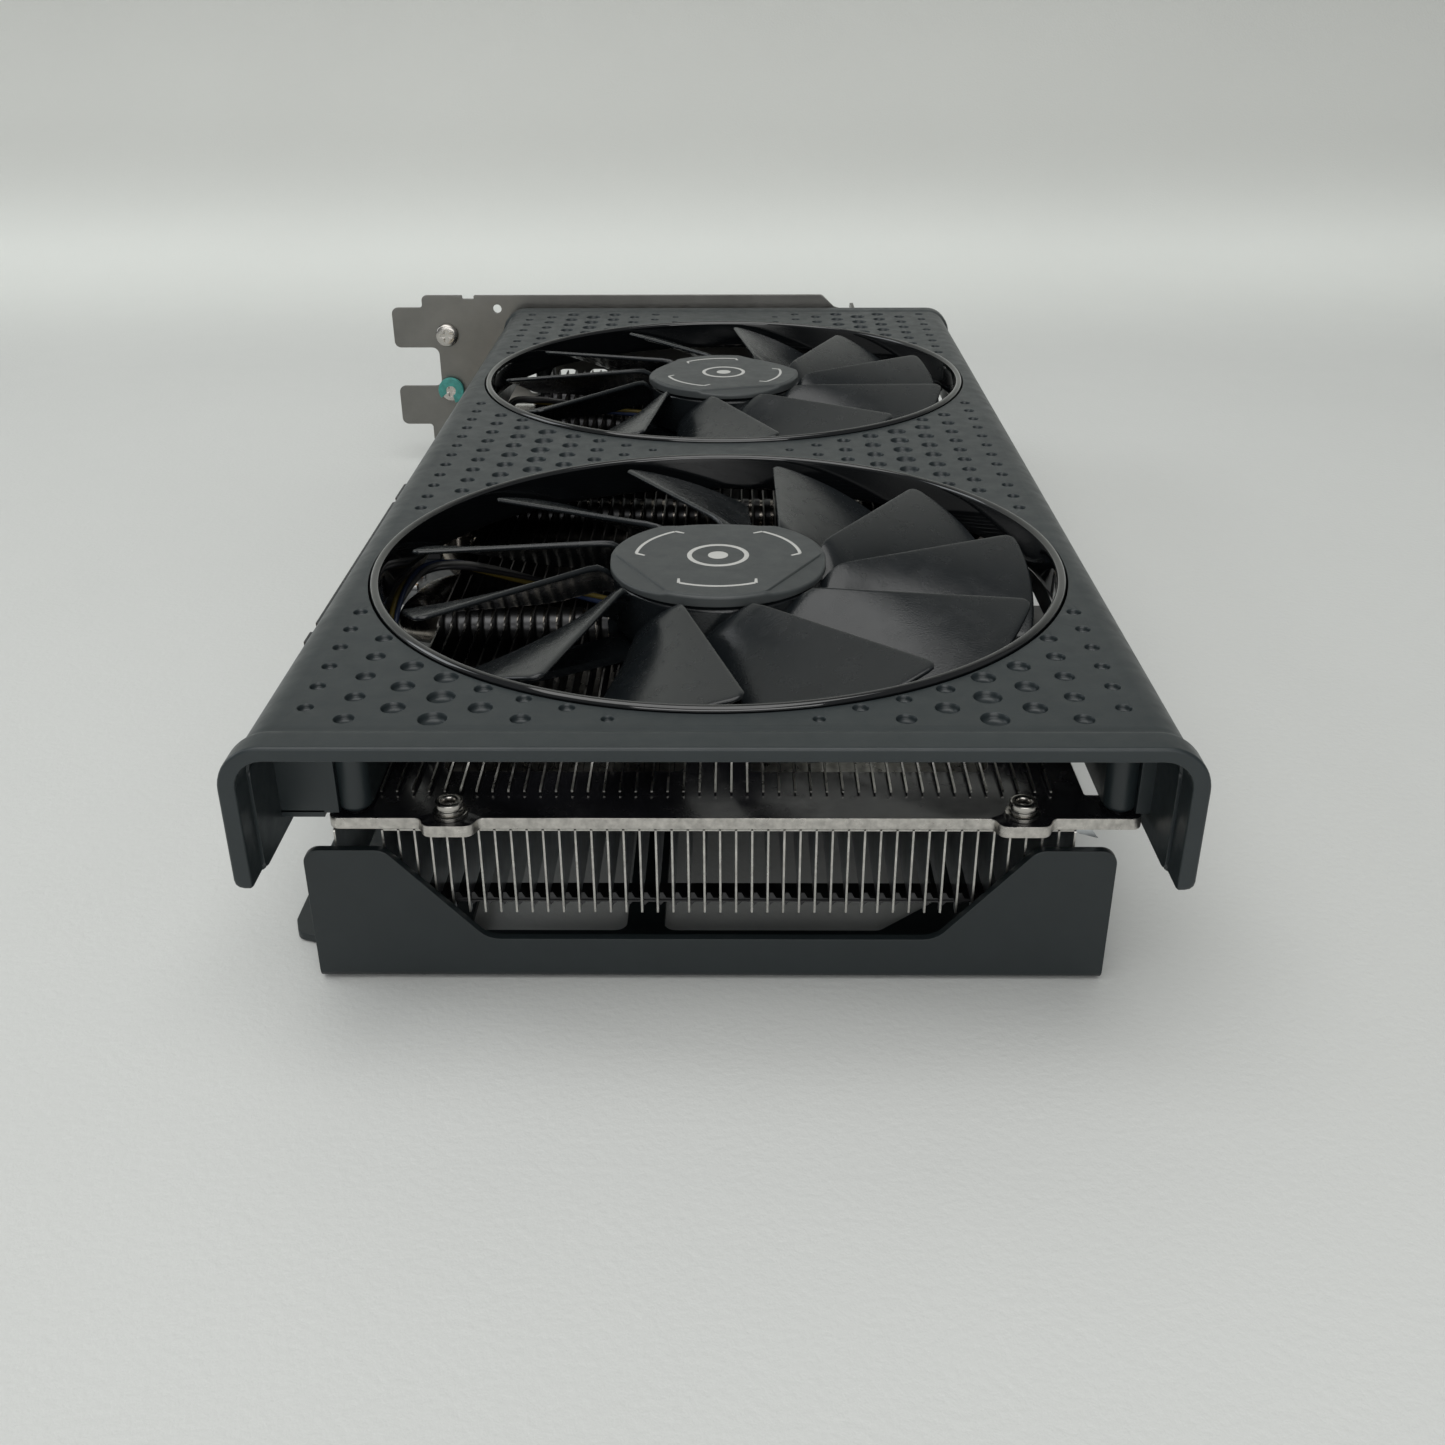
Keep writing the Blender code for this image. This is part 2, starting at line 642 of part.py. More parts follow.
# ---------------------------------------------------------------- fins and heat pipes
def comb(x0, pitch, thick, count, levels, sheet, y0, y1):
    """A stack of upright fins held by one folded sheet, as the cells of a grid in X and Z, extruded along Y.

    levels are the heights between the cells, and sheet is the index of the cell row that joins the fins.
    """
    columns = []
    for k in range(count):
        columns += [x0 + pitch * k - thick / 2, x0 + pitch * k + thick / 2]
    filled = set()
    for i in range(len(columns) - 1):
        for j in range(len(levels) - 1):
            if i % 2 == 0 or j == sheet:
                filled.add((i, j))
    index, points = {}, []

    def corner(i, j, end):
        if (i, j, end) not in index:
            index[(i, j, end)] = len(points)
            points.append((columns[i], (y0, y1)[end], levels[j]))
        return index[(i, j, end)]

    faces = []
    for i, j in filled:
        around = ((i, j), (i + 1, j), (i + 1, j + 1), (i, j + 1))
        for end in (0, 1):
            faces.append(tuple(corner(p, q, end) for p, q in around))
        for side, beyond in enumerate(((i, j - 1), (i + 1, j), (i, j + 1), (i - 1, j))):
            if beyond not in filled:
                one, two = around[side], around[(side + 1) % 4]
                faces.append((corner(*one, 0), corner(*two, 0), corner(*two, 1), corner(*one, 1)))
    return Shape().add(points, faces)


place(
    "upper_fin_stack",
    comb(-42.8, 2 * FIN_PITCH, 2 * FIN_THICK, 22, (25.1, 25.5, 29.3), 0, 6.0, 49.5).mesh("upper_fins"),
    mat=FIN,
)
place(
    "lower_fin_stack",
    comb(-48.3, FIN_PITCH, FIN_THICK, 47, (9.4, 22.5, 22.9), 1, 1.9, 49.5).mesh("lower_fins"),
    mat=FIN,
)
main = place(
    "main_fin_stack",
    comb(-41.2, 3 * FIN_PITCH, 3 * FIN_THICK, 15, (14.0, 20.6, 21.2, 29.3), 1, 50.1, 209.5).mesh("main_fins"),
    mat=FIN,
)
slots = Shape()
for y in PIPE_RETURNS:
    slots.box((-60, y - PIPE_R - (2.4 if y > 180 else 0.35), 22.3), (60, y + PIPE_R + 0.35, 33))
slots.box((-60, 91.4, 10), (60, 125.1, 20.2))
slot_helper = place("fin_slots", slots.mesh("fin_slots"), helper=True)
boolean(main, slot_helper, "DIFFERENCE")

LOW, HIGH = PIPE_LOW_Z, PIPE_HIGH_Z


def pipe_route(leg, back, side, start_x, end_x):
    """Along X in the base, round an open bend beside the fins, and back along X through the upper fins."""
    way = 1 if back > leg else -1
    run = abs(back - leg)
    swing = min(1.0, run / 40.0)
    rise = HIGH - LOW
    knees = (
        (43.5, 0.7 * swing, 0.02),
        (48.4, 4.6 * swing, 0.13),
        (50.1, 11.0 * swing, 0.30),
    )
    route = [(start_x, leg, LOW), (side * 10.0, leg, LOW), (side * 36.0, leg, LOW)]
    for x, dy, share in knees:
        route.append((side * x, leg + way * (dy if run > 20 else run * share * 1.2), LOW + rise * share))
    route.append((side * 50.3, (leg + back) / 2, (LOW + HIGH) / 2))
    for x, dy, share in reversed(knees):
        route.append((side * x, back - way * (dy if run > 20 else run * share * 1.2), HIGH - rise * share))
    route += [(side * 36.0, back, HIGH), (side * 10.0, back, HIGH), (end_x, back, HIGH)]
    return route


for index, (leg, back) in enumerate(zip(PIPE_LEGS, PIPE_RETURNS)):
    side = 1 if index == 3 else -1
    pipe(
        "heat_pipe_%d" % (index + 1),
        pipe_route(leg, back, side, -side * 34.0, -side * (46.0 if index == 3 else 43.0)),
        PIPE_R,
        PIPE,
        2,
    )

plate = Shape()
plate.box((-36, 82, 11.6), (36, 134, 13.0))
cold = place("cold_plate", plate.mesh("cold_plate"), mat=PIPE)
block = Shape().box((-34.5, 92.0, 12.2), (34.5, 124.6, 16.3))
block_helper = place("cold_plate_block", block.mesh("cold_plate_block"), helper=True)
boolean(cold, block_helper, "UNION")
foot = Shape().box((-17, 91, 10.6), (17, 125, 12.2))
foot_helper = place("cold_plate_foot", foot.mesh("cold_plate_foot"), helper=True)
boolean(cold, foot_helper, "UNION")
grooves = Shape()
for y in PIPE_LEGS:
    grooves.cylinder((y, LOW), PIPE_R + 0.42, -40, 40, 12, "x")
for x, y in SCREW_XY:
    grooves.cylinder((x, y), 1.5, 10, 15, 8)
groove_helper = place("cold_plate_grooves", grooves.mesh("cold_plate_grooves"), helper=True)
boolean(cold, groove_helper, "DIFFERENCE")


# ---------------------------------------------------------------- tail frame and standoffs
def frame_outline():
    """A straight front edge with two rounded pads, reaching under the shroud's posts at both ends."""
    points = [(-48.3, 1.0), (-47.8, 0.0)]
    for px in PAD_X:
        points += [(px + dx, dy) for dx, dy in ((-3.9, 0.0), (-3.1, -1.4), (-2.3, -2.0), (2.3, -2.0), (3.1, -1.4), (3.9, 0.0))]
    points += [(52.6, 0.0), (53.3, 0.7), (53.3, 7.2), (47.6, 9.4), (47.6, 34.0), (-48.3, 34.0)]
    return points


mid_frame = place(
    "mid_frame",
    Shape()
    .prism(
        frame_outline(),
        *FRAME_Z,
        holes=[circle((x, y), 1.5, 8) for x, y in TAIL_POSTS]
        + [circle((x, PAD_Y), 1.5, 8) for x in PAD_X]
        + [rectangle((-36, 12), (-4, 28), 2), rectangle((4, 12), (36, 28), 2)],
    )
    .mesh("mid_frame"),
    mat=PAINT,
)
seats = Shape()
for x, y in TAIL_POSTS:
    seats.cylinder((x, y), 2.05, FRAME_Z[0] - 1.0, FRAME_Z[0] + 1.1, 12)
seat_helper = place("screw_seats", seats.mesh("screw_seats"), helper=True)
boolean(mid_frame, seat_helper, "DIFFERENCE")
standoff = (
    Shape()
    .turned(
        [(0, 25.6), (0.85, 25.6), (0.85, 26.9), (1.5, 26.9), (1.75, 26.7), (1.75, 25.1), (1.2, 25.1), (1.2, 23.3), (0, 23.3)],
        12,
    )
    .mesh("frame_standoff")
)
for side, px in zip(("left", "right"), PAD_X):
    place("frame_standoff_" + side, standoff, at=(px, PAD_Y, 0), mat=SCREW, smooth=True)

# ---------------------------------------------------------------- board and what sits on it
board_outline = [
    (50.5, BOARD_Y[0]),
    (50.5, BOARD_Y[1]),
    (-66.0, BOARD_Y[1]),
    (-66.0, 216.0),
    (-68.8, 211.0),
    (-68.8, 183.0),
    (-76.2, 183.0),
    (-77.0, 182.2),
    (-77.0, 172.1),
    (-76.3, 171.4),
    (-69.4, 171.4),
    (-69.4, 169.5),
    (-76.3, 169.5),
    (-77.0, 168.8),
    (-77.0, 98.7),
    (-76.2, 97.9),
    (-70.9, 97.9),
    (-70.9, 94.5),
    (-77.0, 94.5),
    (-77.0, 90.0),
    (-73.9, 87.0),
    (-68.8, 87.0),
    (-68.8, BOARD_Y[0]),
]
place(
    "circuit_board",
    Shape().prism(board_outline, *BOARD_Z, holes=[circle((x, y), 1.6, 8) for x, y in SCREW_XY]).mesh("circuit_board"),
    mat=BOARD,
)
UP = BOARD_Z[1] + GAP
place("gpu_package", Shape().prism(rectangle((-17, -17), (17, 17), 0.8, 1), 0, 0.8).mesh("gpu_package"), at=(0, 108, UP), mat=BOARD)
place("gpu_die", Shape().box((-8.5, -7.0, 0), (8.5, 7.0, 0.5)).mesh("gpu_die"), at=(0, 108, 9.85), mat=SILICON)
memory_data = Shape().prism(rectangle((-7, -6), (7, 6), 0.3, 1), 0, 1.1).mesh("memory_chip")
for index, (x, y) in enumerate(((-27, 98), (27, 98), (-27, 118), (27, 118))):
    place("memory_chip_%d" % (index + 1), memory_data, at=(x, y, UP), mat=CHIP)
place(
    "memory_pad",
    Shape()
    .prism(
        [(-34, 92), (-20, 92), (-20, 125.6), (20, 125.6), (20, 92), (34, 92), (34, 127.4), (-34, 127.4)], 10.2, 11.3
    )
    .mesh("memory_pad"),
    mat=PAD,
)
choke_data = Shape().prism(rectangle((-3.4, -3.4), (3.4, 3.4), 0.8, 2), 0, 4.2).mesh("choke")
for index, y in enumerate((97, 106)):
    place("power_choke_%d" % (index + 1), choke_data, at=(41.0, y, UP), mat=CHIP)

# The power socket opens sideways, away from the slot edge.
power = place("power_socket", Shape().box((45.6, 62, UP), (56.2, 82.6, 18.9)).mesh("power_socket"), mat=SOCKET)
power_cut = place("power_socket_mouth", Shape().box((48.0, 63.0, UP + 1.0), (60, 81.6, 17.9)).mesh("mouth"), helper=True)
boolean(power, power_cut, "DIFFERENCE")

for index, px in enumerate(PORT_X):
    name = "display_socket_%d" % (index + 1) if index < 3 else "video_socket"
    wide, tall = (17.0, 6.2) if index < 3 else (15.6, 6.2)
    shell = rectangle((-wide / 2, UP), (wide / 2, UP + tall), 0.6, 1)
    socket = place(name, Shape().prism(shell, 217.5, 230.1, "y").mesh(name), at=(px, 0, 0), mat=PORT)
    mouth = rectangle((-wide / 2 + 0.7, UP + 0.7), (wide / 2 - 0.7, UP + tall - 0.7), 0.4, 1)
    mouth_helper = place(name + "_mouth", Shape().prism(mouth, 220.0, 235, "y").mesh(name + "_mouth"), at=(px, 0, 0), helper=True)
    boolean(socket, mouth_helper, "DIFFERENCE")

# ---------------------------------------------------------------- backplate
back_outline = [
    (-52.2, 0.0),
    (50.8, 0.0),
    (50.8, 226.5),
    (-66.0, 226.5),
    (-66.0, 58.0),
    (-58.5, 50.0),
    (-58.5, 12.0),
    (-57.5, 9.0),
    (-52.2, 7.0),
]
left_window = [(-34.0, 9.6), (-12.4, 9.6), (-12.4, 45.0), (-34.0, 45.0)]
right_window = [(-7.2, 9.6), (22.4, 9.6), (30.8, 16.7), (30.8, 45.0), (-7.2, 45.0)]
back = place(
    "backplate",
    Shape()
    .prism(
        back_outline,
        0,
        BACK_THICK,
        holes=[left_window, right_window] + [circle((x, y), 3.4, 10) for x, y in SCREW_XY],
    )
    .mesh("backplate"),
    mat=BACK,
)
flange = [
    (-52.2, 0.4),
    (50.8, 0.4),
    (50.8, FLANGE_Z - 2.0),
    (50.2, FLANGE_Z - 0.6),
    (48.8, FLANGE_Z),
    (40.9, FLANGE_Z),
    (39.6, FLANGE_Z - 0.9),
    (30.0, 7.6),
    (27.6, 6.5),
    (-28.6, 6.5),
    (-31.0, 7.6),
    (-40.8, FLANGE_Z - 0.9),
    (-42.1, FLANGE_Z),
    (-50.2, FLANGE_Z),
    (-51.6, FLANGE_Z - 0.6),
    (-52.2, FLANGE_Z - 2.0),
]
flange_helper = place("tail_flange", Shape().prism(flange, 0.0, 1.2, "y").mesh("tail_flange"), helper=True)
boolean(back, flange_helper, "UNION")

gpu_screw = screw_mesh("backplate_screw", 3.0, 1.5, 1.2, 10.0)
for index, (x, y) in enumerate(SCREW_XY):
    place("backplate_screw_%d" % (index + 1), gpu_screw, at=(x, y, 0.2), mat=SCREW, smooth=True)

# ---------------------------------------------------------------- I/O bracket
z0, z1 = BRACKET_Z
bracket_outline = [
    (33.6, z0),
    (33.6, 39.6),
    (27.6, 40.6),
    (24.7, z1),
    (-77.2, z1),
    (-78.4, z1 - 1.2),
    (-78.4, 40.5),
    (-85.4, 40.5),
    (-86.4, 39.5),
    (-86.4, 31.3),
    (-85.4, 30.3),
    (-75.0, 30.3),
    (-75.0, 20.2),
    (-85.4, 20.2),
    (-86.4, 19.2),
    (-86.4, 11.0),
    (-85.4, 10.0),
    (-78.4, 10.0),
    (-78.4, z0 + 1.2),
    (-77.2, z0),
]
bracket_holes = []
for index, px in enumerate(PORT_X):
    wide = 17.0 if index < 3 else 15.6
    bracket_holes.append(rectangle((px - wide / 2 - 0.35, UP - 0.35), (px + wide / 2 + 0.35, UP + 6.2 + 0.35), 0.8, 1))
for k in range(1, 10):
    bracket_holes.append(rectangle((-60.5 + 8.2 * k, 18.2), (-55.3 + 8.2 * k, 24.6), 1.4, 1))
bracket_holes.append(circle((-72.5, 33.6), 1.5, 8))
bracket_holes.append(circle((-72.5, 19.3), 1.5, 8))
bracket = place(
    "io_bracket",
    Shape().prism(bracket_outline, *BRACKET_Y, "y").mesh("io_bracket"),
    mat=NICKEL,
)
openings = Shape()
for hole in bracket_holes:
    openings.prism(hole, BRACKET_Y[0] - 2, BRACKET_Y[1] + 2, "y")
opening_helper = place("bracket_openings", openings.mesh("bracket_openings"), helper=True)
boolean(bracket, opening_helper, "DIFFERENCE")
tab = rectangle((229.0, z0), (Y_TAB, 39.4), 1.2, 1)
tab_holes = [rectangle((233.0, 8.0), (237.4, 14.0), 1.4, 1), rectangle((233.0, 28.3), (237.4, 34.3), 1.4, 1)]
tab_helper = place("bracket_tab", Shape().prism(tab, 32.7, 33.6, "x", holes=tab_holes).mesh("bracket_tab"), helper=True)
boolean(bracket, tab_helper, "UNION")

bracket_screw = screw_mesh("bracket_screw", 2.9, 1.3, 1.2, 1.6)
for side, z in zip(("upper", "lower"), (33.6, 19.3)):
    made = place("bracket_screw_" + side, bracket_screw, at=(-72.5, BRACKET_Y[0] - GAP - 1.3, z), mat=SCREW, smooth=True)
    made.rotation_euler = (math.radians(-90), 0, 0)
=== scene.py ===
"""The looks of the dual-fan graphics card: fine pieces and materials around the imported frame, a pale floor,
soft light and the camera.

Lengths in this file are millimetres in the card's own directions: X across, Y from the open tail towards the
I/O bracket with Y = 0 at the tail flange's outer face, Z up from the backplate's outer face. make() turns
them into metres in the row frame.
"""

import math

import bmesh
import bpy
import numpy as np
from mathutils import Matrix, Vector
from mathutils.geometry import delaunay_2d_cdt

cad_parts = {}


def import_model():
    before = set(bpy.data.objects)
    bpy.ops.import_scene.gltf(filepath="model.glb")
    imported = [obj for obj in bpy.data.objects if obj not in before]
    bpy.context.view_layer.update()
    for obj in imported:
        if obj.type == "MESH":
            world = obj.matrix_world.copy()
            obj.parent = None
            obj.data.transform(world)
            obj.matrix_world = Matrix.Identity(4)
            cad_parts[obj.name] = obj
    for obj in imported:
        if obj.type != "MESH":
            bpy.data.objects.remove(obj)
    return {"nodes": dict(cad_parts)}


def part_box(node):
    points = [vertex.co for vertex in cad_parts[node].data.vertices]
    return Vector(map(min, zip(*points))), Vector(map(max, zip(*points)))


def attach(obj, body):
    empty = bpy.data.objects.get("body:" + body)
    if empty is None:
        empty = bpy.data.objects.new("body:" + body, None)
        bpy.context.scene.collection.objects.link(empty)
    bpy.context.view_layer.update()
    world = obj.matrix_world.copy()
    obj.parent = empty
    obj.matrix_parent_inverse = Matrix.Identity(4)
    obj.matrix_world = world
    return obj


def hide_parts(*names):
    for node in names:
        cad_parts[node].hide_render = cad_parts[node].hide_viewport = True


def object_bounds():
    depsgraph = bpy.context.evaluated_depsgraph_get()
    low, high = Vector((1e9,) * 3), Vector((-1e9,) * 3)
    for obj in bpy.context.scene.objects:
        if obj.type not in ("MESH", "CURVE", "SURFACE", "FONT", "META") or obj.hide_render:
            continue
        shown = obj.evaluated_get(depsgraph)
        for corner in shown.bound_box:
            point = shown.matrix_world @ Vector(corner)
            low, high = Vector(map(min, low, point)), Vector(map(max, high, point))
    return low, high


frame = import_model()
CAD_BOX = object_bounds()
NODES = frame["nodes"]
MM = 0.001

ring_low, ring_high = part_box("ring_trim_tail")
back_low, back_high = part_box("backplate")
DX = (ring_low.x + ring_high.x) / 2 / MM
DY = back_low.y / MM
FAN_Y = {
    name: (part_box("ring_trim_" + name)[0].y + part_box("ring_trim_" + name)[1].y) / 2 / MM - DY
    for name in ("tail", "bracket")
}
FAN_TURN = {"tail": 13.3, "bracket": 13.3 + 74.6}


def world(x, y, z):
    return ((x + DX) * MM, (y + DY) * MM, z * MM)


# ------------------------------------------------------------------ materials
def nodes_of(name):
    made = bpy.data.materials.new(name)
    made.use_nodes = True
    tree = made.node_tree
    shader = tree.nodes["Principled BSDF"]
    where = tree.nodes.new("ShaderNodeTexCoord")
    return made, tree, shader, where.outputs["Object"]


def noise_at(tree, coordinates, scale, detail=2.0, rough=0.5, stretch=None, turn=None):
    if stretch:
        mapping = tree.nodes.new("ShaderNodeMapping")
        mapping.inputs["Scale"].default_value = stretch
        if turn:
            mapping.inputs["Rotation"].default_value = turn
        tree.links.new(coordinates, mapping.inputs["Vector"])
        coordinates = mapping.outputs["Vector"]
    made = tree.nodes.new("ShaderNodeTexNoise")
    made.inputs["Scale"].default_value = scale
    made.inputs["Detail"].default_value = detail
    made.inputs["Roughness"].default_value = rough
    tree.links.new(coordinates, made.inputs["Vector"])
    return made.outputs["Fac"]


def spread(tree, value, low, high, floor=0.3, ceiling=0.7):
    made = tree.nodes.new("ShaderNodeMapRange")
    made.inputs["From Min"].default_value = floor
    made.inputs["From Max"].default_value = ceiling
    made.inputs["To Min"].default_value = low
    made.inputs["To Max"].default_value = high
    tree.links.new(value, made.inputs["Value"])
    return made.outputs["Result"]


def blend_colours(tree, factor, one, two):
    made = tree.nodes.new("ShaderNodeMix")
    made.data_type = "RGBA"
    made.inputs["A"].default_value = (*one, 1)
    made.inputs["B"].default_value = (*two, 1)
    tree.links.new(factor, made.inputs["Factor"])
    return made.outputs["Result"]


def finish_material(
    name,
    colour,
    rough,
    metal=0.0,
    vary=0.12,
    vary_scale=180.0,
    rough_by=0.06,
    rough_scale=350.0,
    grain=2500.0,
    bump=0.12,
    depth=0.00003,
    stretch=None,
    second=None,
    specular=0.5,
    coat=0.0,
    coat_rough=0.1,
    aniso=0.0,
):
    """A surface with colour drift, roughness drift and a fine relief, all in object space."""
    made, tree, shader, at = nodes_of(name)
    drift = noise_at(tree, at, vary_scale, 4.0, 0.6)
    dark = tuple(c * (1 - vary) for c in colour)
    light = second or tuple(min(1.0, c * (1 + vary)) for c in colour)
    tree.links.new(blend_colours(tree, spread(tree, drift, 0, 1), dark, light), shader.inputs["Base Color"])
    wear = noise_at(tree, at, rough_scale, 3.0, 0.6, stretch)
    tree.links.new(
        spread(tree, wear, max(0.02, rough - rough_by), rough + rough_by), shader.inputs["Roughness"]
    )
    fine = noise_at(tree, at, grain, 2.0, 0.5, stretch)
    relief = tree.nodes.new("ShaderNodeBump")
    relief.inputs["Strength"].default_value = bump
    relief.inputs["Distance"].default_value = depth
    tree.links.new(fine, relief.inputs["Height"])
    tree.links.new(relief.outputs["Normal"], shader.inputs["Normal"])
    shader.inputs["Metallic"].default_value = metal
    shader.inputs["Specular IOR Level"].default_value = specular
    shader.inputs["Coat Weight"].default_value = coat
    shader.inputs["Coat Roughness"].default_value = coat_rough
    shader.inputs["Anisotropic"].default_value = aniso
    made.diffuse_color = (*colour, 1)
    return made


CHARCOAL = finish_material("satin_charcoal_plastic", (0.0150, 0.0212, 0.0235), 0.38, vary=0.08, bump=0.22, grain=3200)
GLOSS = finish_material(
    "gloss_black_plastic", (0.003, 0.0035, 0.004), 0.07, vary=0.2, rough_by=0.02, bump=0.03, grain=900, coat=0.6, coat_rough=0.05
)
BLADE = finish_material(
    "fan_black_plastic", (0.0085, 0.0105, 0.0120), 0.25, vary=0.12, rough_by=0.05, bump=0.5, grain=3600, depth=0.00004
)
BADGE = finish_material("hub_charcoal_plastic", (0.043, 0.0485, 0.0495), 0.46, vary=0.07, bump=0.3, grain=3600)
MARK = finish_material("light_grey_print", (0.50, 0.50, 0.48), 0.45, vary=0.05, bump=0.1)
PAINT = finish_material(
    "black_painted_steel", (0.010, 0.010, 0.012), 0.22, vary=0.25, rough_by=0.08, bump=0.1, grain=700, coat=0.3, coat_rough=0.12
)
BACK = finish_material(
    "blue_black_painted_metal", (0.0105, 0.0155, 0.0172), 0.44, vary=0.08, rough_by=0.05, bump=0.25, grain=4200
)
CUT = finish_material(
    "bare_cut_steel", (0.50, 0.48, 0.45), 0.34, 1.0, vary=0.25, vary_scale=900, rough_by=0.12, grain=3000, bump=0.5
)
FIN = finish_material(
    "fin_aluminium", (0.25, 0.255, 0.26), 0.30, 1.0, vary=0.14, vary_scale=300, rough_by=0.06, grain=1800, bump=0.12
)
FIN_EDGE = finish_material(
    "fin_cut_edge", (0.50, 0.49, 0.46), 0.32, 1.0, vary=0.22, vary_scale=900, rough_by=0.1, grain=2600, bump=0.3
)
PIPE = finish_material(
    "nickel_plated_pipe", (0.22, 0.20, 0.175), 0.26, 1.0, vary=0.3, vary_scale=160, rough_by=0.1, grain=900, bump=0.2
)
NICKEL = finish_material(
    "bracket_nickel_steel", (0.185, 0.182, 0.170), 0.36, 1.0, vary=0.12, vary_scale=90, rough_by=0.08,
    grain=500, bump=0.25, stretch=(1, 1, 14),
)
SCREW = finish_material("screw_steel", (0.47, 0.45, 0.42), 0.24, 1.0, vary=0.12, rough_by=0.08, grain=1500, bump=0.12)
SCREW_DARK = finish_material("black_zinc_screw", (0.05, 0.05, 0.055), 0.3, 0.8, vary=0.2, rough_by=0.08, grain=1500, bump=0.12)
BRASS = finish_material("bearing_brass", (0.62, 0.45, 0.2), 0.35, 1.0, bump=0.2)
STEEL = finish_material("shaft_steel", (0.7, 0.7, 0.72), 0.18, 1.0, bump=0.05)
IRON = finish_material(
    "stator_windings", (0.30, 0.13, 0.05), 0.42, 0.7, vary=0.3, second=(0.45, 0.22, 0.09), grain=2200, bump=0.6,
    stretch=(1, 1, 6),
)
FERRITE = finish_material("magnet_ferrite", (0.05, 0.047, 0.047), 0.6, 0.1, bump=0.5)
BOARD = finish_material(
    "circuit_board_black", (0.010, 0.012, 0.015), 0.32, vary=0.3, vary_scale=500, rough_by=0.08, bump=0.3, grain=1400
)
BOARD_EDGE = finish_material("board_edge", (0.022, 0.019, 0.014), 0.7, vary=0.3, bump=0.4)
GOLD = finish_material("contact_gold", (0.83, 0.60, 0.24), 0.25, 1.0, vary=0.06, bump=0.05)
CHIP = finish_material("chip_moulding", (0.016, 0.016, 0.018), 0.48, vary=0.15, bump=0.35, grain=5000)
CERAMIC = finish_material("ceramic_body", (0.30, 0.20, 0.12), 0.5, vary=0.2, vary_scale=700, bump=0.1)
TIN = finish_material("solder_tin", (0.62, 0.62, 0.62), 0.3, 1.0, vary=0.1, bump=0.15)
SILICON = finish_material("die_silicon", (0.30, 0.32, 0.38), 0.1, 0.6, vary=0.1, bump=0.02)
PAD = finish_material("thermal_pad_grey", (0.42, 0.47, 0.52), 0.85, vary=0.1, bump=0.5, grain=1500)
SOCKET = finish_material("socket_black_plastic", (0.014, 0.014, 0.015), 0.4, vary=0.1, bump=0.2)
HEADER = finish_material("header_white_plastic", (0.72, 0.70, 0.64), 0.45, vary=0.05, bump=0.1)
PORT = finish_material("port_shell_steel", (0.58, 0.57, 0.55), 0.26, 1.0, vary=0.1, rough_by=0.08, bump=0.12)
# The next two are darkened copies of the fin aluminium, painted shade: the first for the edges of the fins under the
# fans, the second for fin faces under the shroud and the strip and tabs low at the front of the lower stack.
FIN_IN_SHADE = finish_material(
    "inner_fin_aluminium_painted_shade", (0.085, 0.083, 0.078), 0.36, 1.0, vary=0.2, vary_scale=300, rough_by=0.06, grain=1800, bump=0.12
)
FIN_DARK = finish_material(
    "shaded_fin_aluminium", (0.070, 0.070, 0.072), 0.36, 1.0, vary=0.25, vary_scale=300, rough_by=0.06, grain=1800, bump=0.12
)
FIN_LOW = finish_material(
    "front_fin_aluminium", (0.56, 0.585, 0.60), 0.34, 1.0, vary=0.12, vary_scale=300, rough_by=0.06, grain=1800, bump=0.12
)
# The yellow and white leads are coloured far darker than their own colours: painted shade for the dark inside of the
# shroud.
WIRE_BLACK = finish_material("lead_black", (0.015, 0.015, 0.017), 0.42, bump=0.1)
WIRE_YELLOW_SHADED = finish_material("lead_yellow_painted_shade", (0.10, 0.075, 0.014), 0.42, bump=0.1)
WIRE_BLUE = finish_material("lead_blue", (0.013, 0.022, 0.055), 0.42, bump=0.1)
WIRE_WHITE_SHADED = finish_material("lead_white_painted_shade", (0.07, 0.07, 0.068), 0.42, bump=0.1)
TEAL = finish_material("thread_lock_teal", (0.05, 0.27, 0.24), 0.5, vary=0.25, vary_scale=900, bump=0.3)


# ------------------------------------------------------------------ mesh tools
def area(loop):
    return sum(
        loop[i - 1][0] * loop[i][1] - loop[i][0] * loop[i - 1][1] for i in range(len(loop))
    ) / 2


def turned_way(loop, anticlockwise):
    return list(loop) if (area(loop) > 0) == anticlockwise else list(loop)[::-1]


def offset(loop, by):
    """The loop moved to its left by a small distance."""
    if not by:
        return list(loop)
    found = []
    count = len(loop)
    for i in range(count):
        (ax, ay), (bx, by_), (cx, cy) = loop[i - 1], loop[i], loop[(i + 1) % count]
        l1 = math.hypot(bx - ax, by_ - ay) or 1e-9
        l2 = math.hypot(cx - bx, cy - by_) or 1e-9
        n1 = (-(by_ - ay) / l1, (bx - ax) / l1)
        n2 = (-(cy - by_) / l2, (cx - bx) / l2)
        k = max(0.35, 1 + n1[0] * n2[0] + n1[1] * n2[1])
        found.append((bx + (n1[0] + n2[0]) / k * by, by_ + (n1[1] + n2[1]) / k * by))
    return found


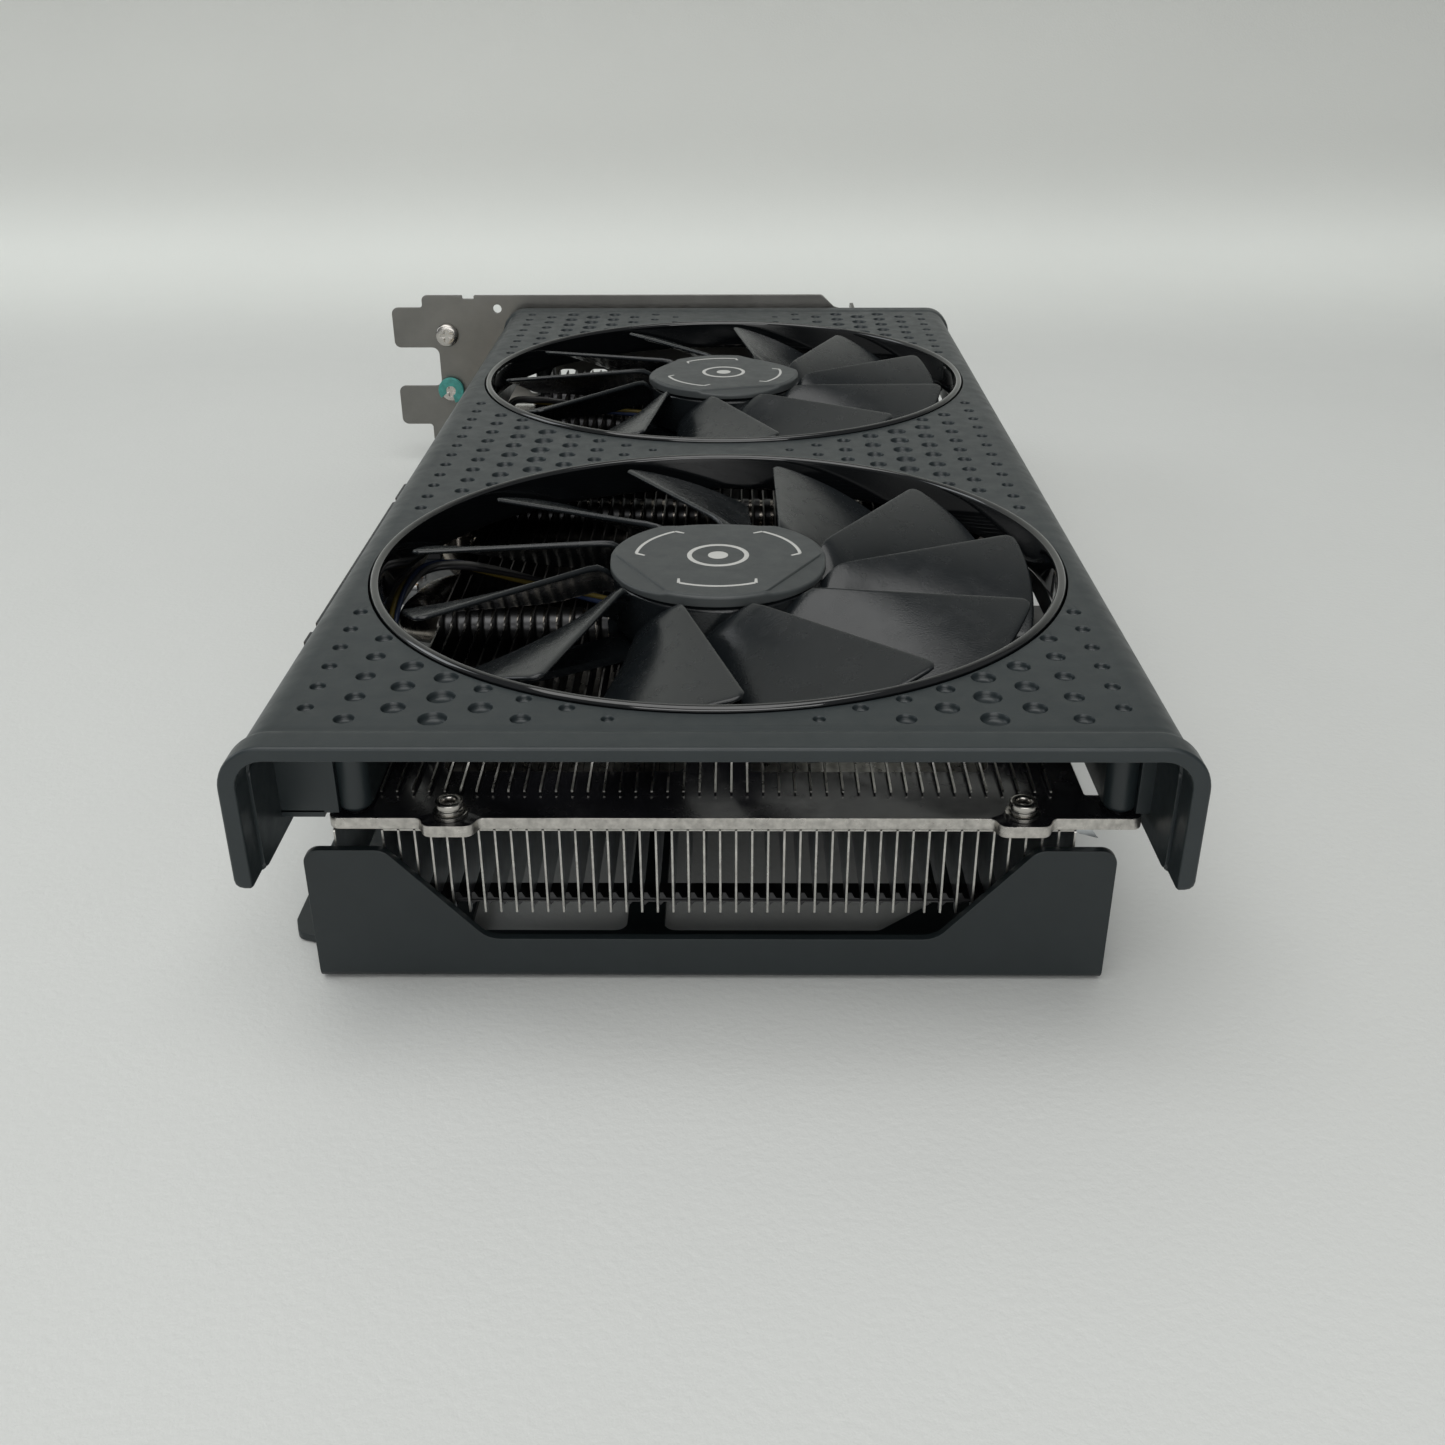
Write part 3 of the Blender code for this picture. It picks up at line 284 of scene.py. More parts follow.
def fill(loops, lines=()):
    """Triangles between the first loop and the others, as indices into all their points. lines are extra edges."""
    flat = [Vector(p) for loop in loops for p in loop]
    edges, start = [], 0
    for loop in loops:
        size = len(loop)
        edges += [(start + i, start + (i + 1) % size) for i in range(size)]
        start += size
    border = np.array([[*flat[a], *flat[b]] for a, b in edges])
    verts, _, faces, origin, _, _ = delaunay_2d_cdt(flat, edges + list(lines), [], 0, 1e-7)
    back = [o[0] if o else None for o in origin]
    tris = [f for f in faces if all(back[i] is not None for i in f)]
    if not tris:
        return []
    points = np.array([(v.x, v.y) for v in verts])
    middle = points[np.array(tris)].mean(1)
    inside = []
    x1, y1, x2, y2 = border.T
    for at in range(0, len(middle), 2000):
        px, py = middle[at : at + 2000, 0][:, None], middle[at : at + 2000, 1][:, None]
        crosses = (y1 > py) != (y2 > py)
        with np.errstate(divide="ignore", invalid="ignore"):
            where = (x2 - x1) * (py - y1) / (y2 - y1) + x1
        inside += list(((crosses & (px < where)).sum(1) % 2) == 1)
    return [tuple(back[i] for i in f) for f, good in zip(tris, inside) if good]


def circle(centre, radius, sides, start=0.0):
    return [
        (
            centre[0] + radius * math.cos(start + 2 * math.pi * i / sides),
            centre[1] + radius * math.sin(start + 2 * math.pi * i / sides),
        )
        for i in range(sides)
    ]


def fillet(loop, radii, step=15.0):
    """The loop with round corners. radii is one number or one for each corner."""
    count = len(loop)
    if not hasattr(radii, "__len__"):
        radii = [radii] * count
    found = []
    for i in range(count):
        a, b, c = (Vector(loop[i - 1]), Vector(loop[i]), Vector(loop[(i + 1) % count]))
        r = radii[i]
        one, two = (a - b), (c - b)
        l1, l2 = one.length, two.length
        if r <= 0 or l1 < 1e-6 or l2 < 1e-6:
            found.append(tuple(b))
            continue
        one, two = one / l1, two / l2
        half = math.acos(max(-1, min(1, one.dot(two)))) / 2
        if half > math.radians(89):
            found.append(tuple(b))
            continue
        back = min(r / math.tan(half), 0.48 * l1, 0.48 * l2)
        r = back * math.tan(half)
        middle = b + (one + two).normalized() * (r / math.sin(half))
        p, q = b + one * back - middle, b + two * back - middle
        turn = math.atan2(p.x * q.y - p.y * q.x, p.dot(q))
        steps = max(1, round(abs(math.degrees(turn)) / step))
        for k in range(steps + 1):
            t = turn * k / steps
            found.append(
                (
                    middle.x + p.x * math.cos(t) - p.y * math.sin(t),
                    middle.y + p.x * math.sin(t) + p.y * math.cos(t),
                )
            )
    return found


def rectangle(low, high, r=0.0, step=15.0):
    return fillet([(low[0], low[1]), (high[0], low[1]), (high[0], high[1]), (low[0], high[1])], r, step)


LIFT = {
    "z": lambda a, b, c: (a, b, c),
    "y": lambda a, b, c: (a, c, b),
    "x": lambda a, b, c: (c, a, b),
}


class Build:
    """Gathers closed shells, in card millimetres, each face with a material index."""

    def __init__(self):
        self.points, self.faces, self.slots = [], [], []

    def add(self, points, faces, mat=0):
        base = len(self.points)
        self.points += [tuple(p) for p in points]
        self.faces += [tuple(i + base for i in f) for f in faces]
        self.slots += list(mat) if isinstance(mat, list) else [mat] * len(faces)
        return self

    def plate(self, outline, holes, low, high, axis="z", edge=0.12, mat=0, side=None, shape=None, lines=None):
        """A flat sheet with rounded edges. shape maps (a, b, height) to a point where the sheet is bent."""
        loops = [turned_way(outline, True)] + [turned_way(h, False) for h in holes]
        lift = shape or LIFT[axis]
        tall = high - low
        edge = min(edge, tall * 0.45)
        if edge > 0:
            layers = [(low, edge), (low + 0.3 * edge, 0.3 * edge), (low + edge, 0)]
            layers += [(high - edge, 0), (high - 0.3 * edge, 0.3 * edge), (high, edge)]
        else:
            layers = [(low, 0), (high, 0)]
        points, size = [], sum(map(len, loops))
        for height, inset in layers:
            for loop in loops:
                points += [lift(p[0], p[1], height) for p in offset(loop, inset)]
        inner = [offset(loop, edge) for loop in loops] if edge > 0 else loops
        extra = lines(inner) if lines else ()
        tris = fill(inner, extra)
        last = (len(layers) - 1) * size
        faces = [t[::-1] for t in tris] + [tuple(i + last for i in t) for t in tris]
        mats = [mat] * len(faces)
        for k in range(len(layers) - 1):
            start = 0
            for loop in loops:
                count = len(loop)
                for i in range(count):
                    a, b = start + i, start + (i + 1) % count
                    faces.append((k * size + a, k * size + b, (k + 1) * size + b, (k + 1) * size + a))
                    mats.append(mat if side is None else side)
                start += count
        return self.add(points, faces, mats)

    def box(self, low, high, edge=0.1, r=0.0, mat=0, axis="z"):
        i, j, k = {"z": (0, 1, 2), "y": (0, 2, 1), "x": (1, 2, 0)}[axis]
        return self.plate(rectangle((low[i], low[j]), (high[i], high[j]), r, 30), (), low[k], high[k], axis, edge, mat)

    def turned(self, profile, sides, centre=(0, 0), closed=False, mat=0, axis="z", start=0.0):
        """A profile of (radius, height) turned about an axis."""
        lift = LIFT[axis]
        rows, points = [], []
        for radius, z in profile:
            if radius < 1e-6:
                rows.append([len(points)] * sides)
                points.append(lift(centre[0], centre[1], z))
            else:
                rows.append(list(range(len(points), len(points) + sides)))
                points += [lift(x, y, z) for x, y in circle(centre, radius, sides, start)]
        faces = []
        for k in range(len(rows) if closed else len(rows) - 1):
            one, two = rows[k], rows[(k + 1) % len(rows)]
            for i in range(sides):
                j = (i + 1) % sides
                ring = []
                for index in (one[i], one[j], two[j], two[i]):
                    if index not in ring:
                        ring.append(index)
                if len(ring) > 2:
                    faces.append(tuple(ring))
        return self.add(points, faces, mat)

    def tube(self, path, radius, sides=12, mat=0, ends=None):
        """A round tube along a path, closed flat at both ends. ends is not used."""
        path = [Vector(p) for p in path]
        radii = [radius] * len(path) if not hasattr(radius, "__len__") else list(radius)
        tangents = []
        for i in range(len(path)):
            a, b = path[max(0, i - 1)], path[min(len(path) - 1, i + 1)]
            tangents.append((b - a).normalized())
        normal = tangents[0].orthogonal().normalized()
        points = []
        for i, at in enumerate(path):
            if i:
                turn = tangents[i - 1].rotation_difference(tangents[i])
                normal = turn @ normal
            normal = (normal - tangents[i] * normal.dot(tangents[i])).normalized()
            other = tangents[i].cross(normal)
            for k in range(sides):
                t = 2 * math.pi * k / sides
                points.append(at + radii[i] * (math.cos(t) * normal + math.sin(t) * other))
        faces = []
        for i in range(len(path) - 1):
            for k in range(sides):
                m = (k + 1) % sides
                faces.append((i * sides + k, i * sides + m, (i + 1) * sides + m, (i + 1) * sides + k))
        last = (len(path) - 1) * sides
        base = len(points)
        points += [path[0], path[-1]]
        for k in range(sides):
            m = (k + 1) % sides
            faces += [(base, m, k), (base + 1, last + k, last + m)]
        return self.add(points, faces, mat)

    def moved(self, start, change):
        self.points[start:] = [tuple(change(Vector(p))) for p in self.points[start:]]
        return self

    def make(self, name, mats, body="root", stands_for=(), slot=None, sharp=50, weighted=True):
        """The object, in metres in the row frame, riding on its body."""
        mesh = bpy.data.meshes.new(name)
        mesh.from_pydata([world(*p) for p in self.points], [], self.faces)
        for mat in mats if isinstance(mats, (list, tuple)) else [mats]:
            mesh.materials.append(mat)
        mesh.polygons.foreach_set("material_index", np.array(self.slots, np.int32))
        bm = bmesh.new()
        bm.from_mesh(mesh)
        bmesh.ops.recalc_face_normals(bm, faces=bm.faces)
        bm.to_mesh(mesh)
        bm.free()
        mesh.shade_smooth()
        mesh.set_sharp_from_angle(angle=math.radians(sharp))
        made = bpy.data.objects.new(name, mesh)
        bpy.context.scene.collection.objects.link(made)
        if weighted:
            weight = made.modifiers.new("even_normals", "WEIGHTED_NORMAL")
            weight.keep_sharp = True
            weight.weight = 80
        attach(made, body)
        if stands_for:
            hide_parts(*stands_for)
        return made


def arc(cx, cy, r, begin, end, steps):
    return [
        (
            cx + r * math.cos(math.radians(begin + (end - begin) * k / steps)),
            cy + r * math.sin(math.radians(begin + (end - begin) * k / steps)),
        )
        for k in range(steps + 1)
    ]


def smooth_route(through, per_span=6):
    ends = [through[0]] + list(through) + [through[-1]]
    found = []
    for i in range(1, len(ends) - 2):
        p0, p1, p2, p3 = (Vector(ends[i + k]) for k in (-1, 0, 1, 2))
        for k in range(per_span):
            t = k / per_span
            found.append(
                0.5
                * (
                    2 * p1
                    + (p2 - p0) * t
                    + (2 * p0 - 5 * p1 + 4 * p2 - p3) * t * t
                    + (3 * p1 - p0 - 3 * p2 + p3) * t * t * t
                )
            )
    found.append(Vector(ends[-1]))
    return found


# ------------------------------------------------------------------ shroud
Y_TAIL, SHROUD_END = -11.7, 226.5
HALF, TOP, WALL = 55.6, 40.8, 1.9
BAND_HALF, BAND_TOP = 56.8, 41.0
LEG, BAND_LEG = 21.8, 21.9
HOLE_R = 50.9
CORNER_R = 4.5
TAIL_POSTS = ((-45.2, 2.8), (50.7, 2.8))


def section(half, top, leg, inset):
    """The U section: outer points from the right leg's foot over the top to the left, then the inside back."""
    flat = HALF - CORNER_R
    inner, under = (54.6 if half > 56.2 else 54.3) + inset * 0.5, top - WALL + inset * 0.5
    half, top, leg = half - inset, top - inset, leg + inset
    r = half - flat
    inner_r = inner - flat
    right = [(inner + 0.25, leg), (half - 1.1, leg), (half - 0.5, leg + 0.16), (half - 0.14, leg + 0.52), (half, leg + 1.1)]
    drop = top - r * 1.0
    right += [
        (flat + r * math.cos(math.radians(a)), drop + r * math.sin(math.radians(a))) for a in np.linspace(0, 90, 13)
    ]
    left = [(-x, z) for x, z in reversed(right)]
    low = under - inner_r
    inside = [(-inner, leg + 0.25)]
    inside += [
        (-(flat + inner_r * math.cos(math.radians(a))), low + inner_r * math.sin(math.radians(a)))
        for a in np.linspace(0, 90, 7)
    ]
    inside += [(-x, z) for x, z in reversed(inside)]
    return right + left + inside


def dimples():
    """Round recesses in columns whose size falls off on both sides of the fourth one from the edge."""
    columns = ((48.6, 1.0), (43.35, 1.25), (38.15, 1.5), (32.95, 1.75), (27.75, 1.5), (22.6, 1.25), (17.45, 1.0), (12.4, 0.78))
    found = []
    middle = (FAN_Y["tail"] + FAN_Y["bracket"]) / 2
    for k, (x, r) in enumerate(columns):
        half_step = 2.9 if k % 2 else 0.0
        tail = [-1.1 - half_step + 5.8 * i for i in range(8)]
        between = [middle - 2.9 + half_step + 5.8 * i for i in range(-8, 9)]
        far = [2 * middle - y for y in tail] + [2 * middle + 1.1 + half_step + 5.8 * i for i in (1, 2)]
        for zone, rows in enumerate((tail, between, far)):
            for y in rows:
                if zone == 0 and y > 29 or zone == 1 and not 66 < y < 140 or zone == 2 and not 177 < y < 219.6:
                    continue
                for side in (1, -1):
                    at, good = Vector((side * x, y)), True
                    size = r
                    for cy in FAN_Y.values():
                        away = at - Vector((0, cy))
                        short = HOLE_R + 0.22 + size - away.length
                        if short > 1.15:
                            good = False
                        elif short > 0:
                            size -= short * 0.3
                            at += away.normalized() * (short * 0.7)
                    if good and at.y > -5.6:
                        found.append((at.x, at.y, size))
    return found


def shroud():
    build = Build()
    stations = (
        (Y_TAIL, BAND_HALF, BAND_TOP, BAND_LEG, 0.42),
        (Y_TAIL + 0.05, BAND_HALF, BAND_TOP, BAND_LEG, 0.26),
        (Y_TAIL + 0.14, BAND_HALF, BAND_TOP, BAND_LEG, 0.13),
        (Y_TAIL + 0.3, BAND_HALF, BAND_TOP, BAND_LEG, 0.04),
        (Y_TAIL + 0.5, BAND_HALF, BAND_TOP, BAND_LEG, 0.0),
        (Y_TAIL + 3.5, BAND_HALF, BAND_TOP, BAND_LEG, 0.0),
        (Y_TAIL + 3.9, BAND_HALF - 0.12, BAND_TOP - 0.02, BAND_LEG, 0.0),
        (Y_TAIL + 4.25, BAND_HALF - 0.5, BAND_TOP - 0.1, BAND_LEG, 0.0),
        (Y_TAIL + 4.5, HALF + 0.22, TOP - 0.06, BAND_LEG, 0.0),
        (Y_TAIL + 4.8, HALF + 0.04, TOP - 0.1, BAND_LEG, 0.0),
        (Y_TAIL + 5.3, HALF, TOP - 0.05, LEG, 0.0),
        (Y_TAIL + 6.0, HALF, TOP, LEG, 0.0),
        (SHROUD_END - 5.3, HALF, TOP, LEG, 0.0),
        (SHROUD_END - 4.9, HALF + 0.04, TOP - 0.04, LEG, 0.0),
        (SHROUD_END - 4.5, HALF + 0.3, TOP, LEG, 0.0),
        (SHROUD_END - 4.0, BAND_HALF - 0.3, BAND_TOP - 0.1, LEG, 0.0),
        (SHROUD_END - 3.5, BAND_HALF, BAND_TOP, LEG, 0.0),
        (SHROUD_END - 0.7, BAND_HALF, BAND_TOP, LEG, 0.0),
        (SHROUD_END - 0.4, BAND_HALF, BAND_TOP, LEG, 0.06),
        (SHROUD_END - 0.15, BAND_HALF, BAND_TOP, LEG, 0.22),
        (SHROUD_END, BAND_HALF, BAND_TOP, LEG, 0.6),
    )
    rings = [[(x, s[0], z) for x, z in section(*s[1:])] for s in stations]
    size = len(rings[0])
    points = [p for ring in rings for p in ring]
    open_from, open_to = 11, 12
    right_top, left_top = 17, 18
    under_left, under_right = 36 + 7, 36 + 8
    faces = []
    for k in range(len(rings) - 1):
        for i in range(size):
            j = (i + 1) % size
            if k == open_from and i in (right_top, under_left):
                continue
            faces.append((k * size + i, k * size + j, (k + 1) * size + j, (k + 1) * size + i))
    for ring, start in ((rings[0], 0), (rings[-1], (len(rings) - 1) * size)):
        faces += [tuple(i + start for i in t) for t in fill([[(p[0], p[2]) for p in ring]])]
    # Top and underside between the bands, with the fans' openings and the recesses.
    y0, y1 = stations[open_from][0], stations[open_to][0]
    corners = {
        "top": [open_from * size + left_top, open_from * size + right_top, open_to * size + right_top, open_to * size + left_top],
        "under": [
            open_from * size + under_left,
            open_from * size + under_right,
            open_to * size + under_right,
            open_to * size + under_left,
        ],
    }
    flat = HALF - CORNER_R
    sides = 144
    fan_loops = [circle((0, cy), HOLE_R, sides) for cy in FAN_Y.values()]
    for level, key in ((TOP, "top"), (TOP - WALL, "under")):
        outline = [(-flat, y0), (flat, y0), (flat, y1), (-flat, y1)]
        loops = [outline] + fan_loops
        pits = []
        if key == "top":
            pits = dimples()
            loops = loops + [circle((x, y), r + 0.10, 22) for x, y, r in pits]
        index = list(corners[key])
        for loop in fan_loops:
            index += list(range(len(points), len(points) + sides))
            points += [(x, y, level) for x, y in loop]
        for x, y, r in pits:
            index += list(range(len(points), len(points) + 22))
            points += [(px, py, level) for px, py in circle((x, y), r + 0.10, 22)]
        corners[key + "_fans"] = index[4 : 4 + 2 * sides]
        pit_index = index[4 + 2 * sides :]
        faces += [tuple(index[i] for i in t) for t in fill(loops)]
        for n, (x, y, r) in enumerate(pits):
            deep = 0.34 + 0.42 * r
            last = pit_index[22 * n : 22 * n + 22]
            rows = [(r + 0.04, 0.015), (r, 0.06), (r * 0.97, 0.06 + deep * 0.42), (r * 0.90, 0.06 + deep * 0.70)]
            rows += [(r * 0.76, 0.06 + deep * 0.88), (r * 0.55, 0.06 + deep * 0.96), (r * 0.3, 0.06 + deep)]
            for away, down in rows:
                now = list(range(len(points), len(points) + 22))
                points += [(px, py, level - down) for px, py in circle((x, y), away, 22)]
                faces += [(last[i], last[(i + 1) % 22], now[(i + 1) % 22], now[i]) for i in range(22)]
                last = now
            faces.append(tuple(last))
    one, two = corners["top_fans"], corners["under_fans"]
    for f in range(2):
        for i in range(sides):
            j = (i + 1) % sides
            a, b = f * sides + i, f * sides + j
            faces.append((one[a], one[b], two[b], two[a]))
    build.add(points, faces)
    # Posts that take the frame's screws, the ribs that brace them, and pins for the fans' arms.
    for x, y in TAIL_POSTS:
        side = -1 if x < 0 else 1
        build.turned(
            [(0, 39.2), (2.3, 39.2), (2.1, 37.0), (2.1, 25.75), (1.98, 25.4), (1.75, 25.2), (1.5, 25.1), (1.0, 25.1), (1.0, 33.0), (0, 33.0)],
            40, (x, y),
        )
        reach, begin = side * 54.8, x + side * 1.7
        panel = [(begin, 25.12), (reach, 25.12), (reach, 37.0), (reach - side * 2.2, 39.3), (begin, 39.3)]
        build.plate(panel, (), y - 2.1, y - 0.8, "y", 0.12)
        if side < 0:
            build.box((-54.8, y - 2.1, 24.5), (-48.75, y - 0.8, 25.6), 0.12)
        # the thicker inner layer of the leg, with a round lower corner, and the rib behind the post
        build.box((min(side * 54.15, side * 54.95), -7.6, 22.0), (max(side * 54.15, side * 54.95), 14.0, 36.0), 0.12, axis="x", r=1.3)
        rib = x - side * 2.0
        build.box((min(rib, rib + side * 0.9), y + 0.6, 25.2), (max(rib, rib + side * 0.9), y + 12.0, 39.3), 0.12)
    for x, y in ((-45.3, 213.5), (50.2, 213.5)):
        build.turned([(0, 39.2), (2.7, 39.2), (2.5, 36.0), (2.5, 9.2), (2.3, 8.9), (0, 8.9)], 28, (x, y))
    for cy in FAN_Y.values():
        for dx, dy in ((48.5, -30.0), (-48.5, -30.0), (48.5, 30.0)):
            build.turned(
                [(0, 39.2), (2.2, 39.2), (2.2, 31.1), (1.2, 31.1), (1.2, 29.3), (0.9, 29.0), (0, 29.0)], 20, (dx, cy + dy)
            )
    return build.make("shroud_shell", CHARCOAL, stands_for=("fan_shroud",), slot="shroud_plastic", sharp=38)


shroud()


# ------------------------------------------------------------------ rings
def ring(name):
    lip = arc(49.93, 40.82, 0.68, 0, 180, 14)
    profile = [(49.5, 35.2), (50.4, 35.2), (50.6, 35.4), (50.6, 37.2), (51.5, 37.2), (51.6, 37.3), (51.6, 38.3), (51.5, 38.4), (50.62, 38.4)]
    profile += lip
    profile += [(49.2, 40.2), (49.22, 36.4), (49.3, 35.5)]
    Build().turned(profile, 192, (0, FAN_Y[name]), closed=True).make(
        "ring_lip_" + name, GLOSS, stands_for=("ring_trim_" + name,), slot="ring_plastic", sharp=60
    )


# ------------------------------------------------------------------ rotors
TIP_R = 46.6


def blade_edge_angle(r):
    return math.radians(11.7) - math.asin(9.457 / r)


def blade_centre(r, u):
    share = (r - 15.0) / (TIP_R - 15.0)
    around = math.radians(25.0 + 2.5 * share)
    angle = blade_edge_angle(r) - around * u
    t = min(1.0, max(0.0, (r - 15.6) / 3.2))
    rise = 2.3 * (1 - (1 - t) ** 2)
    drop = 6.0 + 1.9 * min(1.0, max(0.0, (r - 15.0) / 10.0))
    return Vector((r * math.cos(angle), r * math.sin(angle), 38.4 + rise - drop * (0.62 * u + 0.38 * u * u)))


def blade_point(r, u, side, thin):
    step = 0.01
    across = blade_centre(r, min(u + step, 1.0)) - blade_centre(r, max(u - step, 0.0))
    along = blade_centre(r + 0.2, u) - blade_centre(r - 0.2, u)
    normal = across.cross(along).normalized()
    if normal.z < 0:
        normal.negate()
    half = (0.5 - 0.12 * (r - 15.0) / (TIP_R - 15.0)) * thin
    at = blade_centre(r, u) + side * half * normal
    flat = math.hypot(at.x, at.y)
    return Vector((at.x * r / flat, at.y * r / flat, at.z))


def blade_shell():
    chord = [0, 0.004, 0.012, 0.026, 0.05, 0.09, 0.15, 0.23, 0.32, 0.41, 0.5, 0.59, 0.68, 0.77, 0.85, 0.91, 0.955, 0.98, 0.994, 1.0]
    radial = [0.0, 0.03, 0.06, 0.1, 0.15, 0.21, 0.28, 0.36, 0.44, 0.52, 0.6, 0.68, 0.76, 0.84, 0.9, 0.945, 0.975, 0.99, 0.9965, 1.0]

    def round_edge(t, e):
        return math.sqrt(max(0.0, 1 - (1 - min(t / e, 1.0)) ** 2))

    points, rows = [], []
    for s in radial:
        for side in (1, -1):
            row = []
            for u in chord:
                cut = 1.5 * max(0.0, 1 - u / 0.075) ** 2 + 0.5 * max(0.0, 1 - (1 - u) / 0.03) ** 2
                r = 14.8 + (TIP_R - cut - 14.8) * s
                thin = max(round_edge(u, 0.03), 0.0) * max(round_edge(1 - u, 0.03), 0.0)
                thin *= max(0.25, round_edge((1 - s) * 31.8 / 0.5, 1.0)) if s > 0.98 else 1.0
                row.append(len(points))
                points.append(blade_point(r, u, side, max(0.05, thin)))
            rows.append(row)
    faces = []
    count = len(chord)
    for i in range(len(radial) - 1):
        t0, b0, t1, b1 = rows[2 * i], rows[2 * i + 1], rows[2 * i + 2], rows[2 * i + 3]
        for j in range(count - 1):
            faces.append((t0[j], t0[j + 1], t1[j + 1], t1[j]))
            faces.append((b0[j], b1[j], b1[j + 1], b0[j + 1]))
        faces.append((t0[0], t1[0], b1[0], b0[0]))
        faces.append((t0[-1], b0[-1], b1[-1], t1[-1]))
    for top, low in ((rows[0], rows[1]), (rows[-2], rows[-1])):
        for j in range(count - 1):
            faces.append((top[j], top[j + 1], low[j + 1], low[j]))
    return points, faces


BLADE_SHELL = blade_shell()


def rotor(name):
    cy, turn = FAN_Y[name], math.radians(FAN_TURN[name])
    build = Build()
    build.turned(
        [
            (0, 39.3), (13.6, 39.3), (15.0, 39.24), (15.35, 39.1), (15.55, 38.85), (15.6, 38.5), (15.6, 32.0), (15.45, 31.6), (15.2, 31.5),
            (13.6, 31.5), (13.4, 31.7), (13.4, 38.0), (0, 38.0),
        ],
        96,
    )
    points, faces = BLADE_SHELL
    for k in range(11):
        spin = Matrix.Rotation(2 * math.pi * k / 11, 3, "Z")
        build.add([spin @ p for p in points], faces)
    spin = Matrix.Rotation(turn, 3, "Z")
    build.moved(0, lambda p: spin @ p + Vector((0, cy, 0)))
    build.make("rotor_" + name, BLADE, "fan_" + name, ("fan_rotor_" + name,), "fan_plastic", sharp=48)


def hub_cap(name):
    cy, turn = FAN_Y[name], math.radians(FAN_TURN[name] - 13.3)
    sides, chord, cap_r, top = 180, 12.9, 16.0, 41.35
    build = Build()
    rows = []
    points = []
    for i in range(sides):
        a = 2 * math.pi * i / sides
        edge = cap_r - 0.55
        for normal in (90, 210, 330):
            away = abs((math.degrees(a) - normal + 180) % 360 - 180)
            if away < 80:
                edge = min(edge, chord / math.cos(math.radians(away)))
        share = (cap_r - 0.55 - edge) / (cap_r - 0.55 - chord)
        step = 0.22 * min(1.0, share * 6)
        rim = top - 0.12 - step - 0.42 * share
        c, s = math.cos(a), math.sin(a)
        profile = [
            (edge * 0.45, top), (edge * 0.8, top), (edge - 0.18, top), (edge - 0.05, top - 0.03), (edge, top - 0.09),
            (edge + 0.06 + 0.04 * share, top - 0.09 - step), (min(edge + 0.2, cap_r - 0.35), top - 0.11 - step),
            (cap_r - 0.33, rim), (cap_r - 0.14, rim - 0.07), (cap_r - 0.02, rim - 0.24), (cap_r, rim - 0.45), (cap_r, 39.75), (cap_r - 0.15, 39.6),
        ]
        rows.append(range(len(points), len(points) + len(profile)))
        points += [(r * c, r * s, z) for r, z in profile]
    middle, under = len(points), len(points) + 1
    points += [(0, 0, top), (0, 0, 39.6)]
    faces = []
    for i in range(sides):
        one, two = rows[i], rows[(i + 1) % sides]
        faces.append((middle, one[0], two[0]))
        faces += [(one[k], one[k + 1], two[k + 1], two[k]) for k in range(len(one) - 1)]
        faces.append((under, two[-1], one[-1]))
    build.add(points, faces, 0)
    # Thin printed marks, raised by a hair: three arcs, and a plain ring with a dot in the middle.
    lift = (top - 0.02, top + 0.035)
    for mid in (30, 150, 270):
        band = arc(0, 0, 12.45, mid - 26, mid + 26, 26) + arc(0, 0, 11.95, mid + 26, mid - 26, 26)
        build.plate(band, (), *lift, edge=0.01, mat=1)
        for end in (-1, 1):
            a = math.radians(mid + end * 26.6)
            way = Vector((math.cos(a), math.sin(a)))
            turn_in = Matrix.Rotation(math.radians(-end * 28), 2) @ -way
            side_way = Vector((-turn_in.y, turn_in.x)) * 0.25
            start_at = way * 12.25
            stop_at = start_at + turn_in * 1.6
            hook = [start_at - side_way, start_at + side_way, stop_at + side_way * 0.7, stop_at - side_way * 0.7]
            build.plate([tuple(p) for p in hook], (), *lift, edge=0.01, mat=1)
    build.plate(circle((0, 0), 4.6, 64), [circle((0, 0), 3.9, 64)], *lift, edge=0.01, mat=1)
    build.plate(circle((0, 0), 1.5, 40), (), *lift, edge=0.01, mat=1)
    spin = Matrix.Rotation(turn, 3, "Z")
    build.moved(0, lambda p: spin @ p + Vector((0, cy, 0)))
    build.make("hub_badge_" + name, [BADGE, MARK], "fan_" + name, ("hub_cap_" + name,), "cap_plastic", sharp=42)


for fan_name in FAN_Y:
    ring(fan_name)
    rotor(fan_name)
    hub_cap(fan_name)


# ------------------------------------------------------------------ fins and heat pipes
FIN_PITCH = 2.04
PIPE_R, PIPE_LOW, PIPE_HIGH = 3.0, 16.3, 25.9
PIPE_LEGS = (97.0, 104.5, 119.5, 112.0)
PIPE_RETURNS = (57.0, 110.0, 172.0, 192.0)


def sheet_x(build, x, outline, holes=(), thick=0.3, mat=0, side=None):
    build.plate(outline, holes, x - thick / 2, x + thick / 2, "x", 0.0, mat, side)


